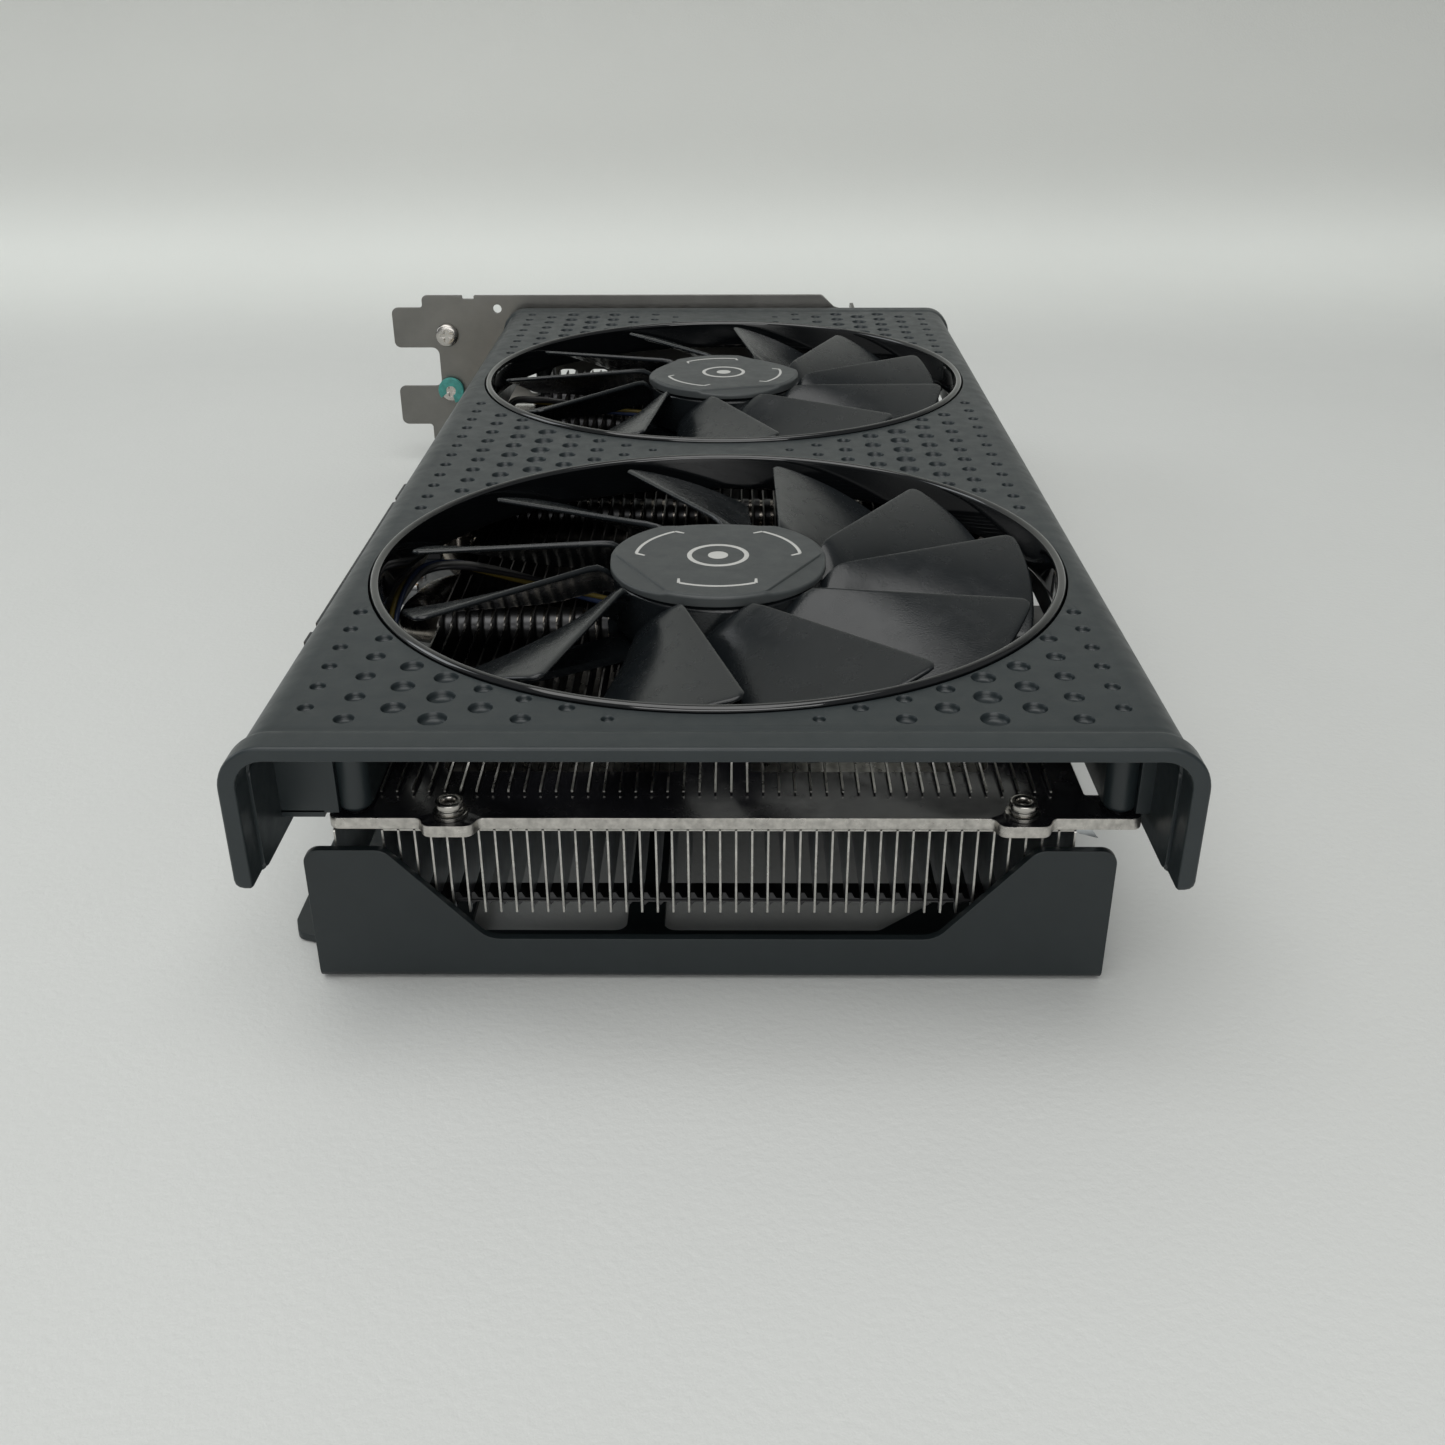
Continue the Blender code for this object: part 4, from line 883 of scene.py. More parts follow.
def main_fins():
    build = Build()
    outline = [
        (50.1, 14.0), (91.4, 14.0), (91.4, 20.2), (125.1, 20.2), (125.1, 14.0), (209.5, 14.0), (209.5, 28.6), (208.8, 29.3),
        (50.8, 29.3), (50.1, 28.6),
    ]
    holes = [circle((y, PIPE_HIGH), PIPE_R + 0.12, 22, 0.1) for y in PIPE_RETURNS]
    for k in range(44):
        x = -43.2 + FIN_PITCH * k
        sheet_x(build, x, outline, holes, 0.26, 0, 1)
        for y in PIPE_RETURNS:
            build.turned(
                [
                    (3.03, x + 0.13), (3.34, x + 0.13), (3.2, x + 0.3), (3.16, x + 0.5), (3.15, x + 1.35), (3.03, x + 1.35),
                ],
                20, (y, PIPE_HIGH), closed=True, axis="x",
            )
        if k < 43:
            for y0, y1 in ((50.6, 91.2), (125.3, 209.0)):
                build.box((x + 0.13, y0, 14.0), (x + FIN_PITCH - 0.15, y1, 14.28), 0.0)
    # fin faces, collars and bottom folds take the darkened fin aluminium and the fin edges the inner copy; both are
    # painted shade for the dark inside of the shroud
    build.make("main_fins", [FIN_DARK, FIN_IN_SHADE], stands_for=("main_fin_stack",), slot="fin_aluminium", weighted=False)


def lower_fins():
    build = Build()
    outline = [
        (1.9, 9.4), (2.9, 9.4), (3.5, 10.8), (49.5, 10.8), (49.5, 22.9), (3.1, 22.9), (2.8, 22.0), (2.3, 22.0), (2.0, 21.85), (1.9, 21.5),
    ]
    for k in range(47):
        x = -48.3 + FIN_PITCH * k
        if k in (1, 2):
            continue
        sheet_x(build, x, outline, thick=0.26, side=1)
        if 2 < k < 46:
            # top flange folded towards the next fin, with a short step in the fin's front edge
            build.box((x + 0.12, 1.98, 21.76), (x + 1.88, 2.75, 22.0), 0.0, mat=1)
            build.box((x + 0.12, 3.2, 22.66), (x + 1.8, 49.2, 22.9), 0.0, mat=1)
            build.box((x - 0.13, 1.86, 20.3), (x + 0.13, 1.98, 21.9), 0.0, mat=1)
            # a narrow strip closes the bottom of the gap at the front, and crimped tabs lock one fin to the next; both
            # take the darkened fin aluminium, painted shade
            build.box((x + 0.12, 2.3, 10.8), (x + 1.9, 6.4, 11.0), 0.0, mat=2)
            build.plate([(x + 0.16, 11.0), (x + 1.9, 11.0), (x + 1.75, 11.25), (x + 1.1, 11.3), (x + 0.7, 12.1), (x + 0.3, 12.1)], (), 2.5, 2.75, "y", 0.0, 2)
            build.plate([(x + 0.16, 10.84), (x + 0.9, 10.84), (x + 0.3, 10.2)], (), 2.4, 2.65, "y", 0.0, 2)
    # the last sheet's bent corner
    build.plate([(45.4, 22.0), (47.6, 22.0), (48.6, 20.6), (45.4, 21.5)], (), 2.3, 2.6, "y", 0.0)
    build.make("lower_fins", [FIN_LOW, FIN_EDGE, FIN_DARK], stands_for=("lower_fin_stack",), slot="fin_aluminium", weighted=False)


def upper_fins():
    build = Build()
    outline = [(6.0, 25.1), (49.5, 25.1), (49.5, 29.3), (19.0, 29.3), (16.0, 25.9), (6.5, 25.45), (6.0, 25.3)]
    for k in range(43):
        x = -42.8 + FIN_PITCH * k
        sheet_x(build, x, outline, thick=0.26, side=1)
    # the fin faces take the darkened fin aluminium, painted shade between the fins; the edges take the lighter cut-edge
    # colour
    build.make("upper_fins", [FIN_DARK, FIN_EDGE], stands_for=("upper_fin_stack",), slot="fin_aluminium", weighted=False)


def pipe_route(leg, back, side, start_x, end_x):
    way = 1 if back > leg else -1
    run = abs(back - leg)
    swing = min(1.0, run / 40.0)
    rise = PIPE_HIGH - PIPE_LOW
    knees = ((43.5, 0.7 * swing, 0.02), (48.4, 4.6 * swing, 0.13), (50.1, 11.0 * swing, 0.30))
    route = [(start_x, leg, PIPE_LOW), (side * 10.0, leg, PIPE_LOW), (side * 36.0, leg, PIPE_LOW)]
    for x, dy, share in knees:
        route.append((side * x, leg + way * (dy if run > 20 else run * share * 1.2), PIPE_LOW + rise * share))
    route.append((side * 50.3, (leg + back) / 2, (PIPE_LOW + PIPE_HIGH) / 2))
    for x, dy, share in reversed(knees):
        route.append((side * x, back - way * (dy if run > 20 else run * share * 1.2), PIPE_HIGH - rise * share))
    route += [(side * 36.0, back, PIPE_HIGH), (side * 10.0, back, PIPE_HIGH), (end_x, back, PIPE_HIGH)]
    return route


def heat_pipe(index):
    leg, back = PIPE_LEGS[index], PIPE_RETURNS[index]
    side = 1 if index == 3 else -1
    path = smooth_route(pipe_route(leg, back, side, -side * 34.0, -side * (46.0 if index == 3 else 43.0)), 7)
    start, end = path[0], path[-1]
    first = (path[1] - path[0]).normalized()
    last = (path[-1] - path[-2]).normalized()
    # rounded, crimped tips just inside the pipe's length
    def tip(at, way):
        return [(at + way * d, PIPE_R * f) for d, f in ((0.05, 0.2), (0.3, 0.34), (0.9, 0.46), (1.9, 0.56), (2.8, 0.8), (3.9, 0.97))]
    head = tip(start, first)
    tail = tip(end, -last)[::-1]
    middle = [p for p in path if (p - start).length > 4.6 and (p - end).length > 4.6]
    route = [p for p, _ in head] + middle + [p for p, _ in tail]
    radii = [r for _, r in head] + [PIPE_R - 0.02] * len(middle) + [r for _, r in tail]
    build = Build().tube(route, radii, 28)
    build.make("pipe_%d" % (index + 1), PIPE, stands_for=("heat_pipe_%d" % (index + 1),), slot="pipe_nickel", sharp=70, weighted=False)


main_fins()
lower_fins()
upper_fins()
for pipe_index in range(4):
    heat_pipe(pipe_index)


# ------------------------------------------------------------------ tail frame, standoffs, screws
FRAME_LOW, FRAME_HIGH = 23.2, 24.8


def tail_frame():
    points, radii = [(-48.3, 0.0)], [1.3]
    for px in (-33.1, 38.4):
        points += [(px - 3.7, 0.0), (px - 3.0, -2.0), (px + 3.0, -2.0), (px + 3.7, 0.0)]
        radii += [0.9, 1.7, 1.7, 0.9]
    points += [(53.3, 0.0), (53.3, 6.0), (47.2, 6.0), (47.2, 34.0), (-48.3, 34.0)]
    radii += [1.2, 1.0, 0.3, 1.5, 1.5]
    outline = fillet(points, radii, 15)
    holes = [circle(p, 1.5, 28) for p in TAIL_POSTS]
    holes += [circle((x, 1.0), 1.5, 28) for x in (-33.1, 38.4)]
    holes += [rectangle((-36, 12), (-4, 28), 2), rectangle((4, 12), (36, 28), 2)]
    build = Build().plate(outline, holes, FRAME_LOW, FRAME_HIGH, "z", 0.1, 0, 1)
    build.make("tail_frame_plate", [PAINT, CUT], stands_for=("mid_frame",), slot="frame_paint", sharp=30)


def screw(build, change, head_r, head_h, shank_r, length, mat=0, flat=0.62):
    """A pan-head screw: the head's outer face looks along +Z with its seat at z = 0 and its shank below, then moved."""
    start = len(build.points)
    sides = 40
    r = head_r * flat
    outer = [(head_r - 0.12, 0.0), (head_r, 0.12), (head_r, head_h * 0.45)]
    outer += [
        (r + (head_r - r) * math.cos(math.radians(a)), head_h * 0.45 + head_h * 0.55 * math.sin(math.radians(a))) for a in (22, 45, 68, 90)
    ]
    build.turned([(0, -length), (shank_r * 0.7, -length), (shank_r, -length + 0.5), (shank_r, 0.0)] + outer + [(r * 0.98, head_h), (r * 0.98, head_h - 0.05), (0, head_h - 0.05)], sides, mat=mat)
    w, reach = head_r * 0.13, head_r * 0.52
    cross = [
        (w, w), (w, reach), (-w, reach), (-w, w), (-reach, w), (-reach, -w), (-w, -w), (-w, -reach), (w, -reach), (w, -w), (reach, -w), (reach, w),
    ]
    cross = fillet(cross, w * 0.35, 45)
    build.plate(circle((0, 0), r, sides), [cross], head_h - 0.6, head_h + 0.004, edge=0.03, mat=mat)
    build.moved(start, change)


def fasteners():
    def facing(at, way):
        turn = Vector((0, 0, 1)).rotation_difference(Vector(way)).to_matrix()
        return lambda p: turn @ p + Vector(at)

    for side, (x, y) in zip(("left", "right"), TAIL_POSTS):
        build = Build()
        screw(build, facing((x, y, FRAME_LOW - 0.01), (0, 0, -1)), 1.9, 0.3, 1.2, 9.0)
        build.make("post_screw_" + side, SCREW_DARK, stands_for=("shroud_screw_" + side,), slot="screw_steel", sharp=40)
    for index, (x, y) in enumerate(((-24.0, 86.0), (24.0, 86.0), (-24.0, 130.0), (24.0, 130.0))):
        build = Build()
        screw(build, facing((x, y, 1.6), (0, 0, -1)), 3.0, 1.4, 1.2, 9.0)
        build.make("rear_screw_%d" % (index + 1), SCREW, stands_for=("backplate_screw_%d" % (index + 1),), slot="screw_steel", sharp=40)
    for side, z, mat in (("upper", 33.6, SCREW), ("lower", 19.3, SCREW)):
        build = Build()
        screw(build, facing((-72.5, 228.6, z), (0, -1, 0)), 2.9, 1.3, 1.2, 1.5)
        mats = [mat]
        if side == "lower":
            mats.append(TEAL)
            dab = arc(0, 0, 3.35, -75, 215, 22) + arc(0, 0, 1.15, 215, -75, 16)
            start = len(build.points)
            build.plate(dab, (), 0.02, 1.38, edge=0.3, mat=1)
            build.moved(start, facing((-72.5, 228.6, z), (0, -1, 0)))
        build.make("bracket_fixing_" + side, mats, stands_for=("bracket_screw_" + side,), slot="screw_steel", sharp=40)
    for side, x in (("left", -33.1), ("right", 38.4)):
        Build().turned(
            [
                (0, 25.7), (0.55, 25.7), (0.85, 26.0), (0.85, 26.7), (0.98, 26.86), (1.15, 26.9), (1.52, 26.9), (1.68, 26.82), (1.75, 26.66),
                (1.75, 26.2), (1.66, 26.12), (1.66, 25.95), (1.75, 25.87), (1.75, 25.45), (2.1, 25.4), (2.2, 25.3), (2.2, 24.86), (1.35, 24.84), (1.35, 23.4), (0, 23.4),
            ],
            40, (x, 1.0),
        ).make("threaded_standoff_" + side, SCREW, stands_for=("frame_standoff_" + side,), slot="screw_steel", sharp=40)


tail_frame()
fasteners()


# ------------------------------------------------------------------ backplate, bent from one sheet
BEND_R, BACK_T, BEND_LEN = 1.5, 1.2, 1.5
BEND_STEPS = 6


def back_shape(x, s, t):
    """s runs down the flange (negative), round the bend (0 to BEND_LEN) and along the floor. t is 0 on the outside."""
    if s <= 0:
        return (x, t, BEND_R - s)
    if s >= BEND_LEN:
        return (x, BEND_R + (s - BEND_LEN), t)
    a = math.radians(90 * s / BEND_LEN)
    return (x, BEND_R - (BEND_R - t) * math.cos(a), BEND_R - (BEND_R - t) * math.sin(a))


def on_floor(y):
    return y - BEND_R + BEND_LEN


def on_flange(z):
    return BEND_R - z


def backplate():
    top = 20.05
    raw = [
        (-52.2, on_flange(top), 2.0), (-41.9, on_flange(top), 2.4), (-29.6, on_flange(6.5), 3.6), (28.6, on_flange(6.5), 3.6),
        (40.7, on_flange(top), 2.4), (50.8, on_flange(top), 2.0),
    ]
    raw += [(50.8, BEND_LEN * k / BEND_STEPS, 0) for k in range(BEND_STEPS + 1)]
    raw += [(50.8, on_floor(226.5), 1.5), (-66.0, on_floor(226.5), 1.5), (-66.0, on_floor(58.0), 2.5), (-58.5, on_floor(50.0), 2.5)]
    raw += [(-58.5, on_floor(12.0), 1.5), (-57.5, on_floor(9.0), 1.5), (-52.2, on_floor(7.0), 1.0)]
    raw += [(-52.2, BEND_LEN * k / BEND_STEPS, 0) for k in range(BEND_STEPS, -1, -1)]
    outline = fillet([p[:2] for p in raw], [p[2] for p in raw], 12)
    outline = turned_way(outline, True)
    windows = [
        fillet([(-34.0, on_floor(9.6)), (-12.4, on_floor(9.6)), (-12.4, on_floor(45)), (-34.0, on_floor(45))], 1.6),
        fillet([(-7.2, on_floor(9.6)), (22.4, on_floor(9.6)), (30.8, on_floor(16.7)), (30.8, on_floor(45)), (-7.2, on_floor(45))], 1.6),
    ]
    holes = windows + [circle((x, on_floor(y)), 3.4, 32) for x, y in ((-24, 86), (24, 86), (-24, 130), (24, 130))]
    def across(loops):
        """Extra edges over the bend, so that the sheet has somewhere to fold."""
        points = [tuple(p) for loop in loops for p in loop]
        rows = {}
        for i, p in enumerate(loops[0]):
            for k in range(BEND_STEPS + 1):
                if abs(p[1] - BEND_LEN * k / BEND_STEPS) < 0.02 and abs(p[0]) > 49:
                    rows.setdefault(k, []).append(i)
        return [tuple(v) for v in rows.values() if len(v) == 2]

    Build().plate(outline, holes, 0.0, BACK_T, edge=0.14, shape=back_shape, lines=across).make(
        "backplate_sheet", BACK, stands_for=("backplate",), slot="backplate_paint", sharp=33
    )


backplate()


# ------------------------------------------------------------------ I/O bracket, bent from one sheet
PORT_X = (-54.0, -33.0, -12.0, 9.0)
BOARD_LOW, BOARD_HIGH = 6.9, 8.5
UP = 8.8
B_Y, B_T, B_X = 228.9, 0.9, 33.6


def bracket_shape(s, z, t):
    centre = B_X - BEND_R
    if s <= centre:
        return (s, B_Y + t, z)
    if s >= centre + BEND_LEN:
        return (B_X - t, B_Y + BEND_R + (s - centre - BEND_LEN), z)
    a = math.radians(90 * (s - centre) / BEND_LEN)
    return (centre + (BEND_R - t) * math.sin(a), B_Y + BEND_R - (BEND_R - t) * math.cos(a), z)


def io_bracket():
    z0, z1 = 4.9, 43.6
    start = B_X - BEND_R
    end = start + BEND_LEN + (240.9 - B_Y - BEND_R)
    raw = [(start + BEND_LEN * k / BEND_STEPS, z0, 0) for k in range(BEND_STEPS + 1)]
    raw += [(end, z0, 1.2), (end, 39.4, 1.2)]
    raw += [(start + BEND_LEN * k / BEND_STEPS, 39.4, 0) for k in range(BEND_STEPS, -1, -1)]
    raw += [(27.9, 40.6, 1.0), (24.7, z1, 1.0)]
    raw += [(-64.9, z1, 0.3), (-64.9, z1 - 0.9, 0.3), (-67.9, z1 - 0.9, 0.3), (-67.9, z1, 0.3)]
    raw += [(-78.4, z1, 1.3), (-78.4, 40.5, 0.8), (-86.4, 40.5, 1.6), (-86.4, 30.3, 1.6), (-75.0, 30.3, 1.8), (-75.0, 20.2, 1.8)]
    raw += [(-86.4, 20.2, 1.6), (-86.4, 10.0, 1.6), (-78.4, 10.0, 0.8), (-78.4, z0, 1.2)]
    outline = fillet([p[:2] for p in raw], [p[2] for p in raw], 18)
    holes = []
    for index, px in enumerate(PORT_X):
        wide = 17.0 if index < 3 else 15.6
        holes.append(rectangle((px - wide / 2 - 0.35, UP - 0.35), (px + wide / 2 + 0.35, UP + 6.55), 0.9, 20))
    for k in range(1, 10):
        x0 = -60.5 + 8.2 * k
        holes.append(fillet([(x0, 18.2), (x0 + 5.2, 18.2), (x0 + 5.2, 24.6), (x0, 24.6)], 1.6, 15))
    holes += [circle((-72.5, z), 1.5, 24) for z in (33.6, 19.3)]
    holes.append(circle((-59.0, 40.2), 1.1, 24))
    for z in (8.0, 28.3):
        y0 = start + BEND_LEN + (233.0 - B_Y - BEND_R)
        holes.append(rectangle((y0, z), (y0 + 4.4, z + 6.0), 2.15, 15))

    def across(loops):
        rows = {}
        for i, p in enumerate(loops[0]):
            for k in range(BEND_STEPS + 1):
                if abs(p[0] - (start + BEND_LEN * k / BEND_STEPS)) < 0.02:
                    rows.setdefault(k, []).append(i)
        return [tuple(v) for v in rows.values() if len(v) == 2]

    Build().plate(outline, holes, 0.0, B_T, edge=0.12, shape=bracket_shape, lines=across).make(
        "io_bracket_sheet", NICKEL, stands_for=("io_bracket",), slot="bracket_nickel", sharp=33
    )


io_bracket()


# ------------------------------------------------------------------ sockets
def display_socket(index):
    px = PORT_X[index]
    video = index == 3
    name = "video_socket" if video else "display_socket_%d" % (index + 1)
    wide, tall = (15.6, 6.2) if video else (17.0, 6.2)
    z0, z1 = UP, UP + tall
    if video:
        shell = [(px - wide / 2, z0 + 1.9), (px - wide / 2 + 1.6, z0), (px + wide / 2 - 1.6, z0), (px + wide / 2, z0 + 1.9), (px + wide / 2, z1), (px - wide / 2, z1)]
    else:
        shell = [(px - wide / 2, z0), (px + wide / 2 - 2.2, z0), (px + wide / 2, z0 + 2.2), (px + wide / 2, z1), (px - wide / 2, z1)]
    shell = turned_way(fillet(shell, 0.7, 20), True)
    build = Build()
    build.plate(shell, [offset(shell, 0.55)], 217.6, 230.05, "y", 0.12)
    build.plate(offset(shell, 0.5), (), 217.5, 219.9, "y", 0.05, 1)
    tongue = (px - wide / 2 + 2.6, px + wide / 2 - 2.6)
    build.box((tongue[0], 219.5, z0 + 2.5), (tongue[1], 229.0, z0 + 3.7), 0.12, axis="y", mat=1, r=0.2)
    pins = 10 if not video else 9
    for k in range(pins):
        x = tongue[0] + (tongue[1] - tongue[0]) * (k + 0.5) / pins
        build.box((x - 0.22, 220.2, z0 + 3.66), (x + 0.22, 228.6, z0 + 3.82), 0.03, mat=2)
        build.box((x - 0.22, 220.2, z0 + 2.38), (x + 0.22, 228.6, z0 + 2.54), 0.03, mat=2)
    build.make(name + "_shell", [PORT, SOCKET, GOLD], stands_for=(name,), slot="port_steel", sharp=40)


for port in range(4):
    display_socket(port)


def power_socket():
    build = Build()
    y0, y1, z0, z1 = 62.0, 82.6, UP, 18.9
    outline = rectangle((y0, z0), (y1, z1), 0.3, 30)
    build.plate(outline, [rectangle((y0 + 1.0, z0 + 1.0), (y1 - 1.0, z1 - 1.0), 0.2, 30)], 47.6, 56.15, "x", 0.12)
    build.box((45.6, y0, z0), (47.8, y1, z1), 0.12)
    # walls between the eight contacts, and the contacts
    step = (y1 - y0 - 2.0) / 4
    for k in range(1, 4):
        y = y0 + 1.0 + step * k
        build.box((47.7, y - 0.3, z0 + 0.9), (55.2, y + 0.3, z1 - 0.9), 0.05)
    mid = (z0 + z1) / 2
    build.box((47.7, y0 + 0.9, mid - 0.3), (55.2, y1 - 0.9, mid + 0.3), 0.05)
    for k in range(4):
        for z in (mid - 2.3, mid + 2.3):
            y = y0 + 1.0 + step * (k + 0.5)
            build.box((47.6, y - 0.5, z - 0.5), (53.6, y + 0.5, z + 0.5), 0.14, mat=1)
    build.box((46.5, (y0 + y1) / 2 - 2.2, z1 - 0.06), (49.5, (y0 + y1) / 2 + 2.2, z1), 0.02)
    build.make("power_socket_body", [SOCKET, GOLD], stands_for=("power_socket",), slot="socket_plastic", sharp=40)


power_socket()


# ------------------------------------------------------------------ circuit board and what is on it
def circuit_board():
    outline = [
        (50.5, 50.3), (50.5, 228.3), (-66.0, 228.3), (-66.0, 216.0), (-68.8, 211.0), (-68.8, 183.0), (-76.2, 183.0), (-77.0, 182.2),
        (-77.0, 172.1), (-76.3, 171.4), (-69.4, 171.4), (-69.4, 169.5), (-76.3, 169.5), (-77.0, 168.8), (-77.0, 98.7), (-76.2, 97.9),
        (-70.9, 97.9), (-70.9, 94.5), (-77.0, 94.5), (-77.0, 90.0), (-73.9, 87.0), (-68.8, 87.0), (-68.8, 50.3),
    ]
    holes = [circle((x, y), 1.6, 24) for x, y in ((-24, 86), (24, 86), (-24, 130), (24, 130))]
    holes += [circle((x, y), 1.6, 24) for x, y in ((-62, 66), (46, 56), (-62, 205))]
    build = Build()
    build.plate(outline, holes, BOARD_LOW, BOARD_HIGH, "z", 0.08, 0, 1)
    for y0, count in ((99.1, 70), (171.9, 11)):
        for k in range(count):
            y = y0 + k * 0.995
            short = 0.9 if k in (0, count - 1) else 0.0
            for z in ((BOARD_HIGH - 0.01, BOARD_HIGH + 0.045), (BOARD_LOW - 0.045, BOARD_LOW + 0.01)):
                build.box((-76.1 + short, y, z[0]), (-72.3, y + 0.7, z[1]), 0.01, mat=2)
    build.make("printed_board", [BOARD, BOARD_EDGE, GOLD], stands_for=("circuit_board",), slot="board_black", sharp=40)


def small_parts():
    """Capacitors and resistors along the open edges of the board, in rows."""
    rng = np.random.default_rng(7)
    build = Build()
    taken = []

    def chip_part(x, y, along, long, wide, tall, body):
        half = (long / 2, wide / 2) if along else (wide / 2, long / 2)
        z0 = BOARD_HIGH + 0.02
        build.box((x - half[0] * 0.56, y - half[1] * (1 if along else 0.56), z0), (x + half[0] * 0.56, y + half[1] * (1 if along else 0.56), z0 + tall * 0.96), 0.05, mat=body) if along else build.box(
            (x - half[0], y - half[1] * 0.56, z0), (x + half[0], y + half[1] * 0.56, z0 + tall * 0.96), 0.05, mat=body
        )
        for s in (-1, 1):
            if along:
                a, b = sorted((x + s * half[0], x + s * half[0] * 0.55))
                build.box((a, y - half[1], z0), (b, y + half[1], z0 + tall), 0.05, mat=2)
            else:
                a, b = sorted((y + s * half[1], y + s * half[1] * 0.55))
                build.box((x - half[0], a, z0), (x + half[0], b, z0 + tall), 0.05, mat=2)

    for k in range(34):
        y = 101.0 + k * 2.0
        chip_part(-68.0, y, True, 1.1, 0.6, 0.5, 1)
    for k in range(26):
        x, y = -64.5 + 3.0 * float(rng.integers(0, 3)), 60.0 + 5.6 * k + float(rng.uniform(-0.6, 0.6))
        if 52 < y < 60 or 177 < y < 187 or 63 < y < 69 or 202 < y < 208:
            continue
        chip_part(x, y, bool(rng.integers(0, 2)), 2.0, 1.25, 0.85, int(rng.integers(0, 2)))
    for k in range(9):
        chip_part(48.6, 88.0 + 3.2 * k, False, 1.8, 1.0, 0.7, 1)
    # moulded polymer capacitors, and the metal cans by the sockets
    for k in range(6):
        y = 132.0 + 7.6 * k
        build.box((-63.5, y, BOARD_HIGH + 0.02), (-59.2, y + 7.0, BOARD_HIGH + 1.9), 0.2, mat=0)
    for x, y in ((-60.5, 196.5), (-60.5, 75.5), (-60.5, 84.0), (-60.5, 92.5)):
        build.box((x - 3.2, y - 3.2, BOARD_HIGH + 0.02), (x + 3.2, y + 3.2, BOARD_HIGH + 0.9), 0.1, r=0.9, mat=0)
        build.turned(
            [
                (0, BOARD_HIGH + 0.6), (2.9, BOARD_HIGH + 0.6), (3.0, BOARD_HIGH + 0.8), (3.0, BOARD_HIGH + 1.3), (2.85, BOARD_HIGH + 1.5), (2.85, BOARD_HIGH + 1.7),
                (3.0, BOARD_HIGH + 1.9), (3.0, BOARD_HIGH + 5.1), (2.75, BOARD_HIGH + 5.35), (0, BOARD_HIGH + 5.35),
            ],
            32, (x, y), mat=2,
        )
    build.make("small_board_parts", [CHIP, CERAMIC, TIN], slot="board_black", sharp=40)


def fan_leads():
    routes = {
        "tail": (
            (-16.0, 56.2, 30.2), (-30.0, 65.5, 30.2), (-42.0, 72.2, 30.3), (-48.3, 71.5, 30.3), (-50.4, 63.5, 30.3), (-50.8, 54.8, 29.4),
            (-51.0, 51.4, 26.0), (-51.4, 51.4, 20.0), (-53.9, 53.0, 16.6), (-56.6, 54.7, 15.2), (-57.0, 55.5, 13.9),
        ),
        "bracket": (
            (-16.8, 164.8, 30.2), (-30.0, 170.5, 30.2), (-42.0, 176.2, 30.3), (-48.6, 179.2, 29.4), (-50.8, 180.2, 25.0),
            (-51.4, 180.4, 20.0), (-53.9, 181.0, 16.6), (-56.6, 181.5, 15.2), (-57.0, 181.7, 13.9),
        ),
    }
    for name, route in routes.items():
        centre = smooth_route(route, 10)
        build = Build()
        for k in range(4):
            path = []
            length = 0.0
            for i, at in enumerate(centre):
                if i:
                    length += (at - centre[i - 1]).length
                way = (centre[min(i + 1, len(centre) - 1)] - centre[max(i - 1, 0)]).normalized()
                side = way.cross(Vector((0, 0, 1)))
                side = side.normalized() if side.length > 0.2 else Vector((1, 0, 0))
                up = side.cross(way)
                turn = 2 * math.pi * k / 4 + length / 9.0
                path.append(at + side * (0.62 * math.cos(turn)) + up * (0.5 * math.sin(turn)))
            build.tube(path, 0.42, 10, mat=k)
        build.make("fan_wires_" + name, [WIRE_BLACK, WIRE_YELLOW_SHADED, WIRE_BLUE, WIRE_WHITE_SHADED], stands_for=("fan_lead_" + name,), slot="lead_rubber", sharp=70, weighted=False)
    for name, (x, y) in (("tail", (-57.0, 55.5)), ("bracket", (-57.0, 181.7))):
        build = Build()
        build.plate(rectangle((x - 3.0, y - 3.6), (x + 3.0, y + 3.6), 0.3, 30), [rectangle((x - 2.3, y - 2.9), (x + 2.3, y + 2.9), 0.2, 30)], UP, 13.4, edge=0.1)
        build.box((x - 2.5, y - 3.1, UP), (x + 2.5, y + 3.1, 10.2), 0.05)
        build.box((x - 2.2, y - 2.8, 10.0), (x + 2.2, y + 2.8, 13.3), 0.15, mat=1)
        build.make("fan_plug_" + name, [HEADER, SOCKET], stands_for=("fan_header_" + name,), slot="header_plastic", sharp=40)


circuit_board()
small_parts()
fan_leads()

# ------------------------------------------------------------------ frame nodes that stay, with finer edges
KEPT = {
    "fan_frame_tail": (BLADE, 0.25), "fan_frame_bracket": (BLADE, 0.25),
    "motor_stator_tail": (IRON, 0.12), "motor_stator_bracket": (IRON, 0.12),
    "motor_board_tail": (BOARD, 0.06), "motor_board_bracket": (BOARD, 0.06),
    "shaft_bearing_tail": (BRASS, 0.08), "shaft_bearing_bracket": (BRASS, 0.08),
    "rotor_magnet_tail": (FERRITE, 0.1), "rotor_magnet_bracket": (FERRITE, 0.1),
    "fan_shaft_tail": (STEEL, 0.05), "fan_shaft_bracket": (STEEL, 0.05),
    "cold_plate": (PIPE, 0.15), "gpu_package": (BOARD, 0.06), "gpu_die": (SILICON, 0.04), "memory_pad": (PAD, 0.12),
    "memory_chip_1": (CHIP, 0.08), "memory_chip_2": (CHIP, 0.08), "memory_chip_3": (CHIP, 0.08), "memory_chip_4": (CHIP, 0.08),
    "power_choke_1": (CHIP, 0.25), "power_choke_2": (CHIP, 0.25),
}
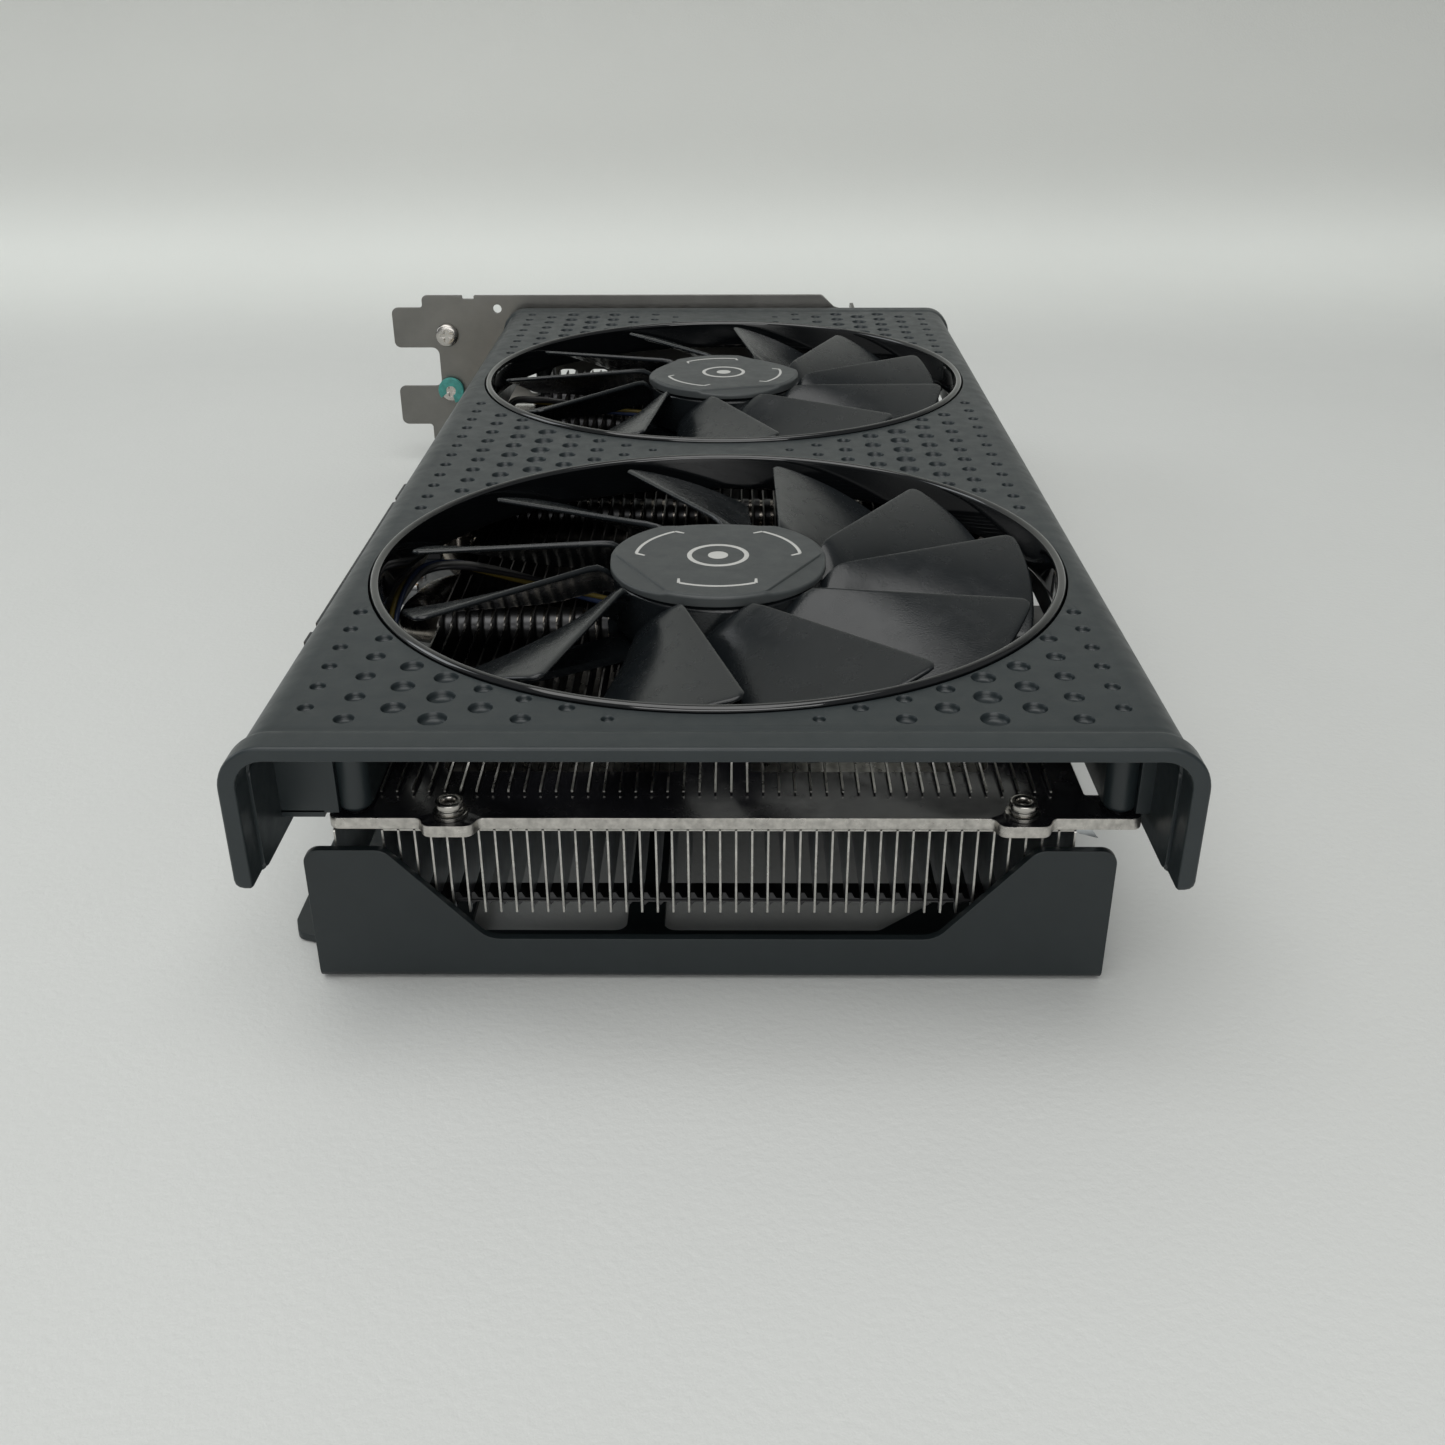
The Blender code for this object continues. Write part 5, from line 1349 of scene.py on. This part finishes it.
for node, (material, width) in KEPT.items():
    piece = NODES[node]
    piece.data.materials.clear()
    piece.data.materials.append(material)
    piece.data.shade_smooth()
    bevel = piece.modifiers.new("edges", "BEVEL")
    bevel.width = width * MM
    bevel.segments = 2
    bevel.limit_method = "ANGLE"
    bevel.angle_limit = math.radians(35)
    bevel.harden_normals = True
    weight = piece.modifiers.new("even_normals", "WEIGHTED_NORMAL")
    weight.keep_sharp = True

# ------------------------------------------------------------------ stage
def stage_material():
    """Fine-grained pale covering with light and shade painted along Y: a painted bright band where the sweep turns up,
    and painted shade that darkens it further up.
    """
    made, tree, shader, at = nodes_of("pale_sweep")
    parts = tree.nodes.new("ShaderNodeSeparateXYZ")
    tree.links.new(at, parts.inputs["Vector"])
    ramp = tree.nodes.new("ShaderNodeValToRGB")
    ramp.color_ramp.interpolation = "EASE"
    stops = ramp.color_ramp.elements
    # Painted light and shade: from flat at the front the stops rise to a bright band where the sweep bends up, then
    # darken towards its top.
    stops[0].position, stops[0].color = 0.0, (0.645, 0.655, 0.640, 1)
    stops[1].position, stops[1].color = 1.0, (0.440, 0.445, 0.425, 1)
    for where, colour in ((0.56, (0.640, 0.652, 0.636, 1)), (0.75, (0.80, 0.82, 0.79, 1)), (0.87, (0.57, 0.58, 0.555, 1))):
        stop = stops.new(where)
        stop.color = colour
    tree.links.new(spread(tree, parts.outputs["Y"], 0.0, 1.0, -0.3, 0.62), ramp.inputs["Fac"])
    drift = noise_at(tree, at, 9.0, 3.0, 0.5)
    shade = tree.nodes.new("ShaderNodeMix")
    shade.data_type = "RGBA"
    shade.blend_type = "MULTIPLY"
    tree.links.new(spread(tree, drift, 0.0, 0.05), shade.inputs["Factor"])
    tree.links.new(ramp.outputs["Color"], shade.inputs["A"])
    shade.inputs["B"].default_value = (0.5, 0.5, 0.5, 1)
    tree.links.new(shade.outputs["Result"], shader.inputs["Base Color"])
    tree.links.new(spread(tree, noise_at(tree, at, 60.0, 3.0, 0.6), 0.5, 0.62), shader.inputs["Roughness"])
    fine = noise_at(tree, at, 900.0, 3.0, 0.55)
    relief = tree.nodes.new("ShaderNodeBump")
    relief.inputs["Strength"].default_value = 0.3
    relief.inputs["Distance"].default_value = 0.0003
    tree.links.new(fine, relief.inputs["Height"])
    tree.links.new(relief.outputs["Normal"], shader.inputs["Normal"])
    shader.inputs["Specular IOR Level"].default_value = 0.3
    return made


FLOOR = stage_material()
lows = CAD_BOX[0]
points, faces = [], []
profile = [(-1.6, 0.0), (-0.6, 0.0), (0.0, 0.0), (0.20, 0.0)]
BEND_STEPS_STAGE, BEND_LENGTH = 60, 0.34
stage_y, stage_z = 0.28, 0.0
for k in range(BEND_STEPS_STAGE + 1):
    profile.append((stage_y, stage_z))
    lean = math.radians(86.0) * ((k + 0.5) / BEND_STEPS_STAGE) ** 2
    stage_y += BEND_LENGTH / BEND_STEPS_STAGE * math.cos(lean)
    stage_z += BEND_LENGTH / BEND_STEPS_STAGE * math.sin(lean)
profile += [(stage_y + 0.02, stage_z + 0.4), (stage_y + 0.06, stage_z + 1.6)]
for y, z in profile:
    points += [(-2.2, y, z + lows.z - 0.0002), (2.2, y, z + lows.z - 0.0002)]
for i in range(len(profile) - 1):
    faces.append((2 * i, 2 * i + 1, 2 * i + 3, 2 * i + 2))
stage_mesh = bpy.data.meshes.new("studio_sweep")
stage_mesh.from_pydata(points, [], faces)
stage_mesh.materials.append(FLOOR)
stage_mesh.shade_smooth()
sweep = bpy.data.objects.new("studio_sweep", stage_mesh)
bpy.context.scene.collection.objects.link(sweep)


def lamp(name, at, look, size, power, colour=(1, 1, 1), shape="RECTANGLE", size_y=None):
    data = bpy.data.lights.new(name, "AREA")
    data.shape = shape
    data.size = size
    if shape == "RECTANGLE":
        data.size_y = size_y or size
    data.energy = power
    data.color = colour
    made = bpy.data.objects.new(name, data)
    made.location = at
    made.rotation_mode = "QUATERNION"
    made.rotation_quaternion = (Vector(look) - Vector(at)).to_track_quat("-Z", "Y")
    bpy.context.scene.collection.objects.link(made)
    return made


lamp("overhead_softbox", (-0.12, -0.32, 1.12), (0.0, 0.0, 0.0), 1.35, 10.7, (1.0, 0.998, 0.98), size_y=1.2)
lamp("front_fill", (0.1, -1.55, 0.55), (0.0, -0.1, 0.0), 1.6, 8.0, (1.0, 1.0, 0.99), size_y=0.6)
lamp("left_window", (-1.5, 0.3, 0.7), (0.0, 0.35, 0.1), 0.8, 4.5, (0.93, 0.97, 1.0), size_y=0.8)

world_data = bpy.data.worlds.new("soft_world")
world_data.use_nodes = True
background = world_data.node_tree.nodes["Background"]
background.inputs["Color"].default_value = (0.95, 0.98, 1.0, 1.0)
background.inputs["Strength"].default_value = 0.20
bpy.context.scene.world = world_data

# ------------------------------------------------------------------ camera
camera_data = bpy.data.cameras.new("camera")
camera_data.lens = 36.667
camera_data.sensor_width = 36.0
camera_data.clip_start, camera_data.clip_end = 0.01, 30.0
camera = bpy.data.objects.new("camera", camera_data)
bpy.context.scene.collection.objects.link(camera)
bpy.context.scene.camera = camera
pitch, yaw, roll = (math.radians(a) for a in (27.300, 0.5688, -0.219))
forward = Vector((-math.sin(yaw) * math.cos(pitch), math.cos(yaw) * math.cos(pitch), -math.sin(pitch)))
right = Vector((math.cos(yaw), math.sin(yaw), 0.0))
up = right.cross(forward)
right_2 = math.cos(roll) * right + math.sin(roll) * up
up_2 = -math.sin(roll) * right + math.cos(roll) * up
matrix = Matrix((right_2, up_2, -forward)).transposed().to_4x4()
matrix.translation = Vector(world(2.6, -157.207, 119.393))
camera.matrix_world = matrix

bpy.context.scene.view_settings.view_transform = "Standard"
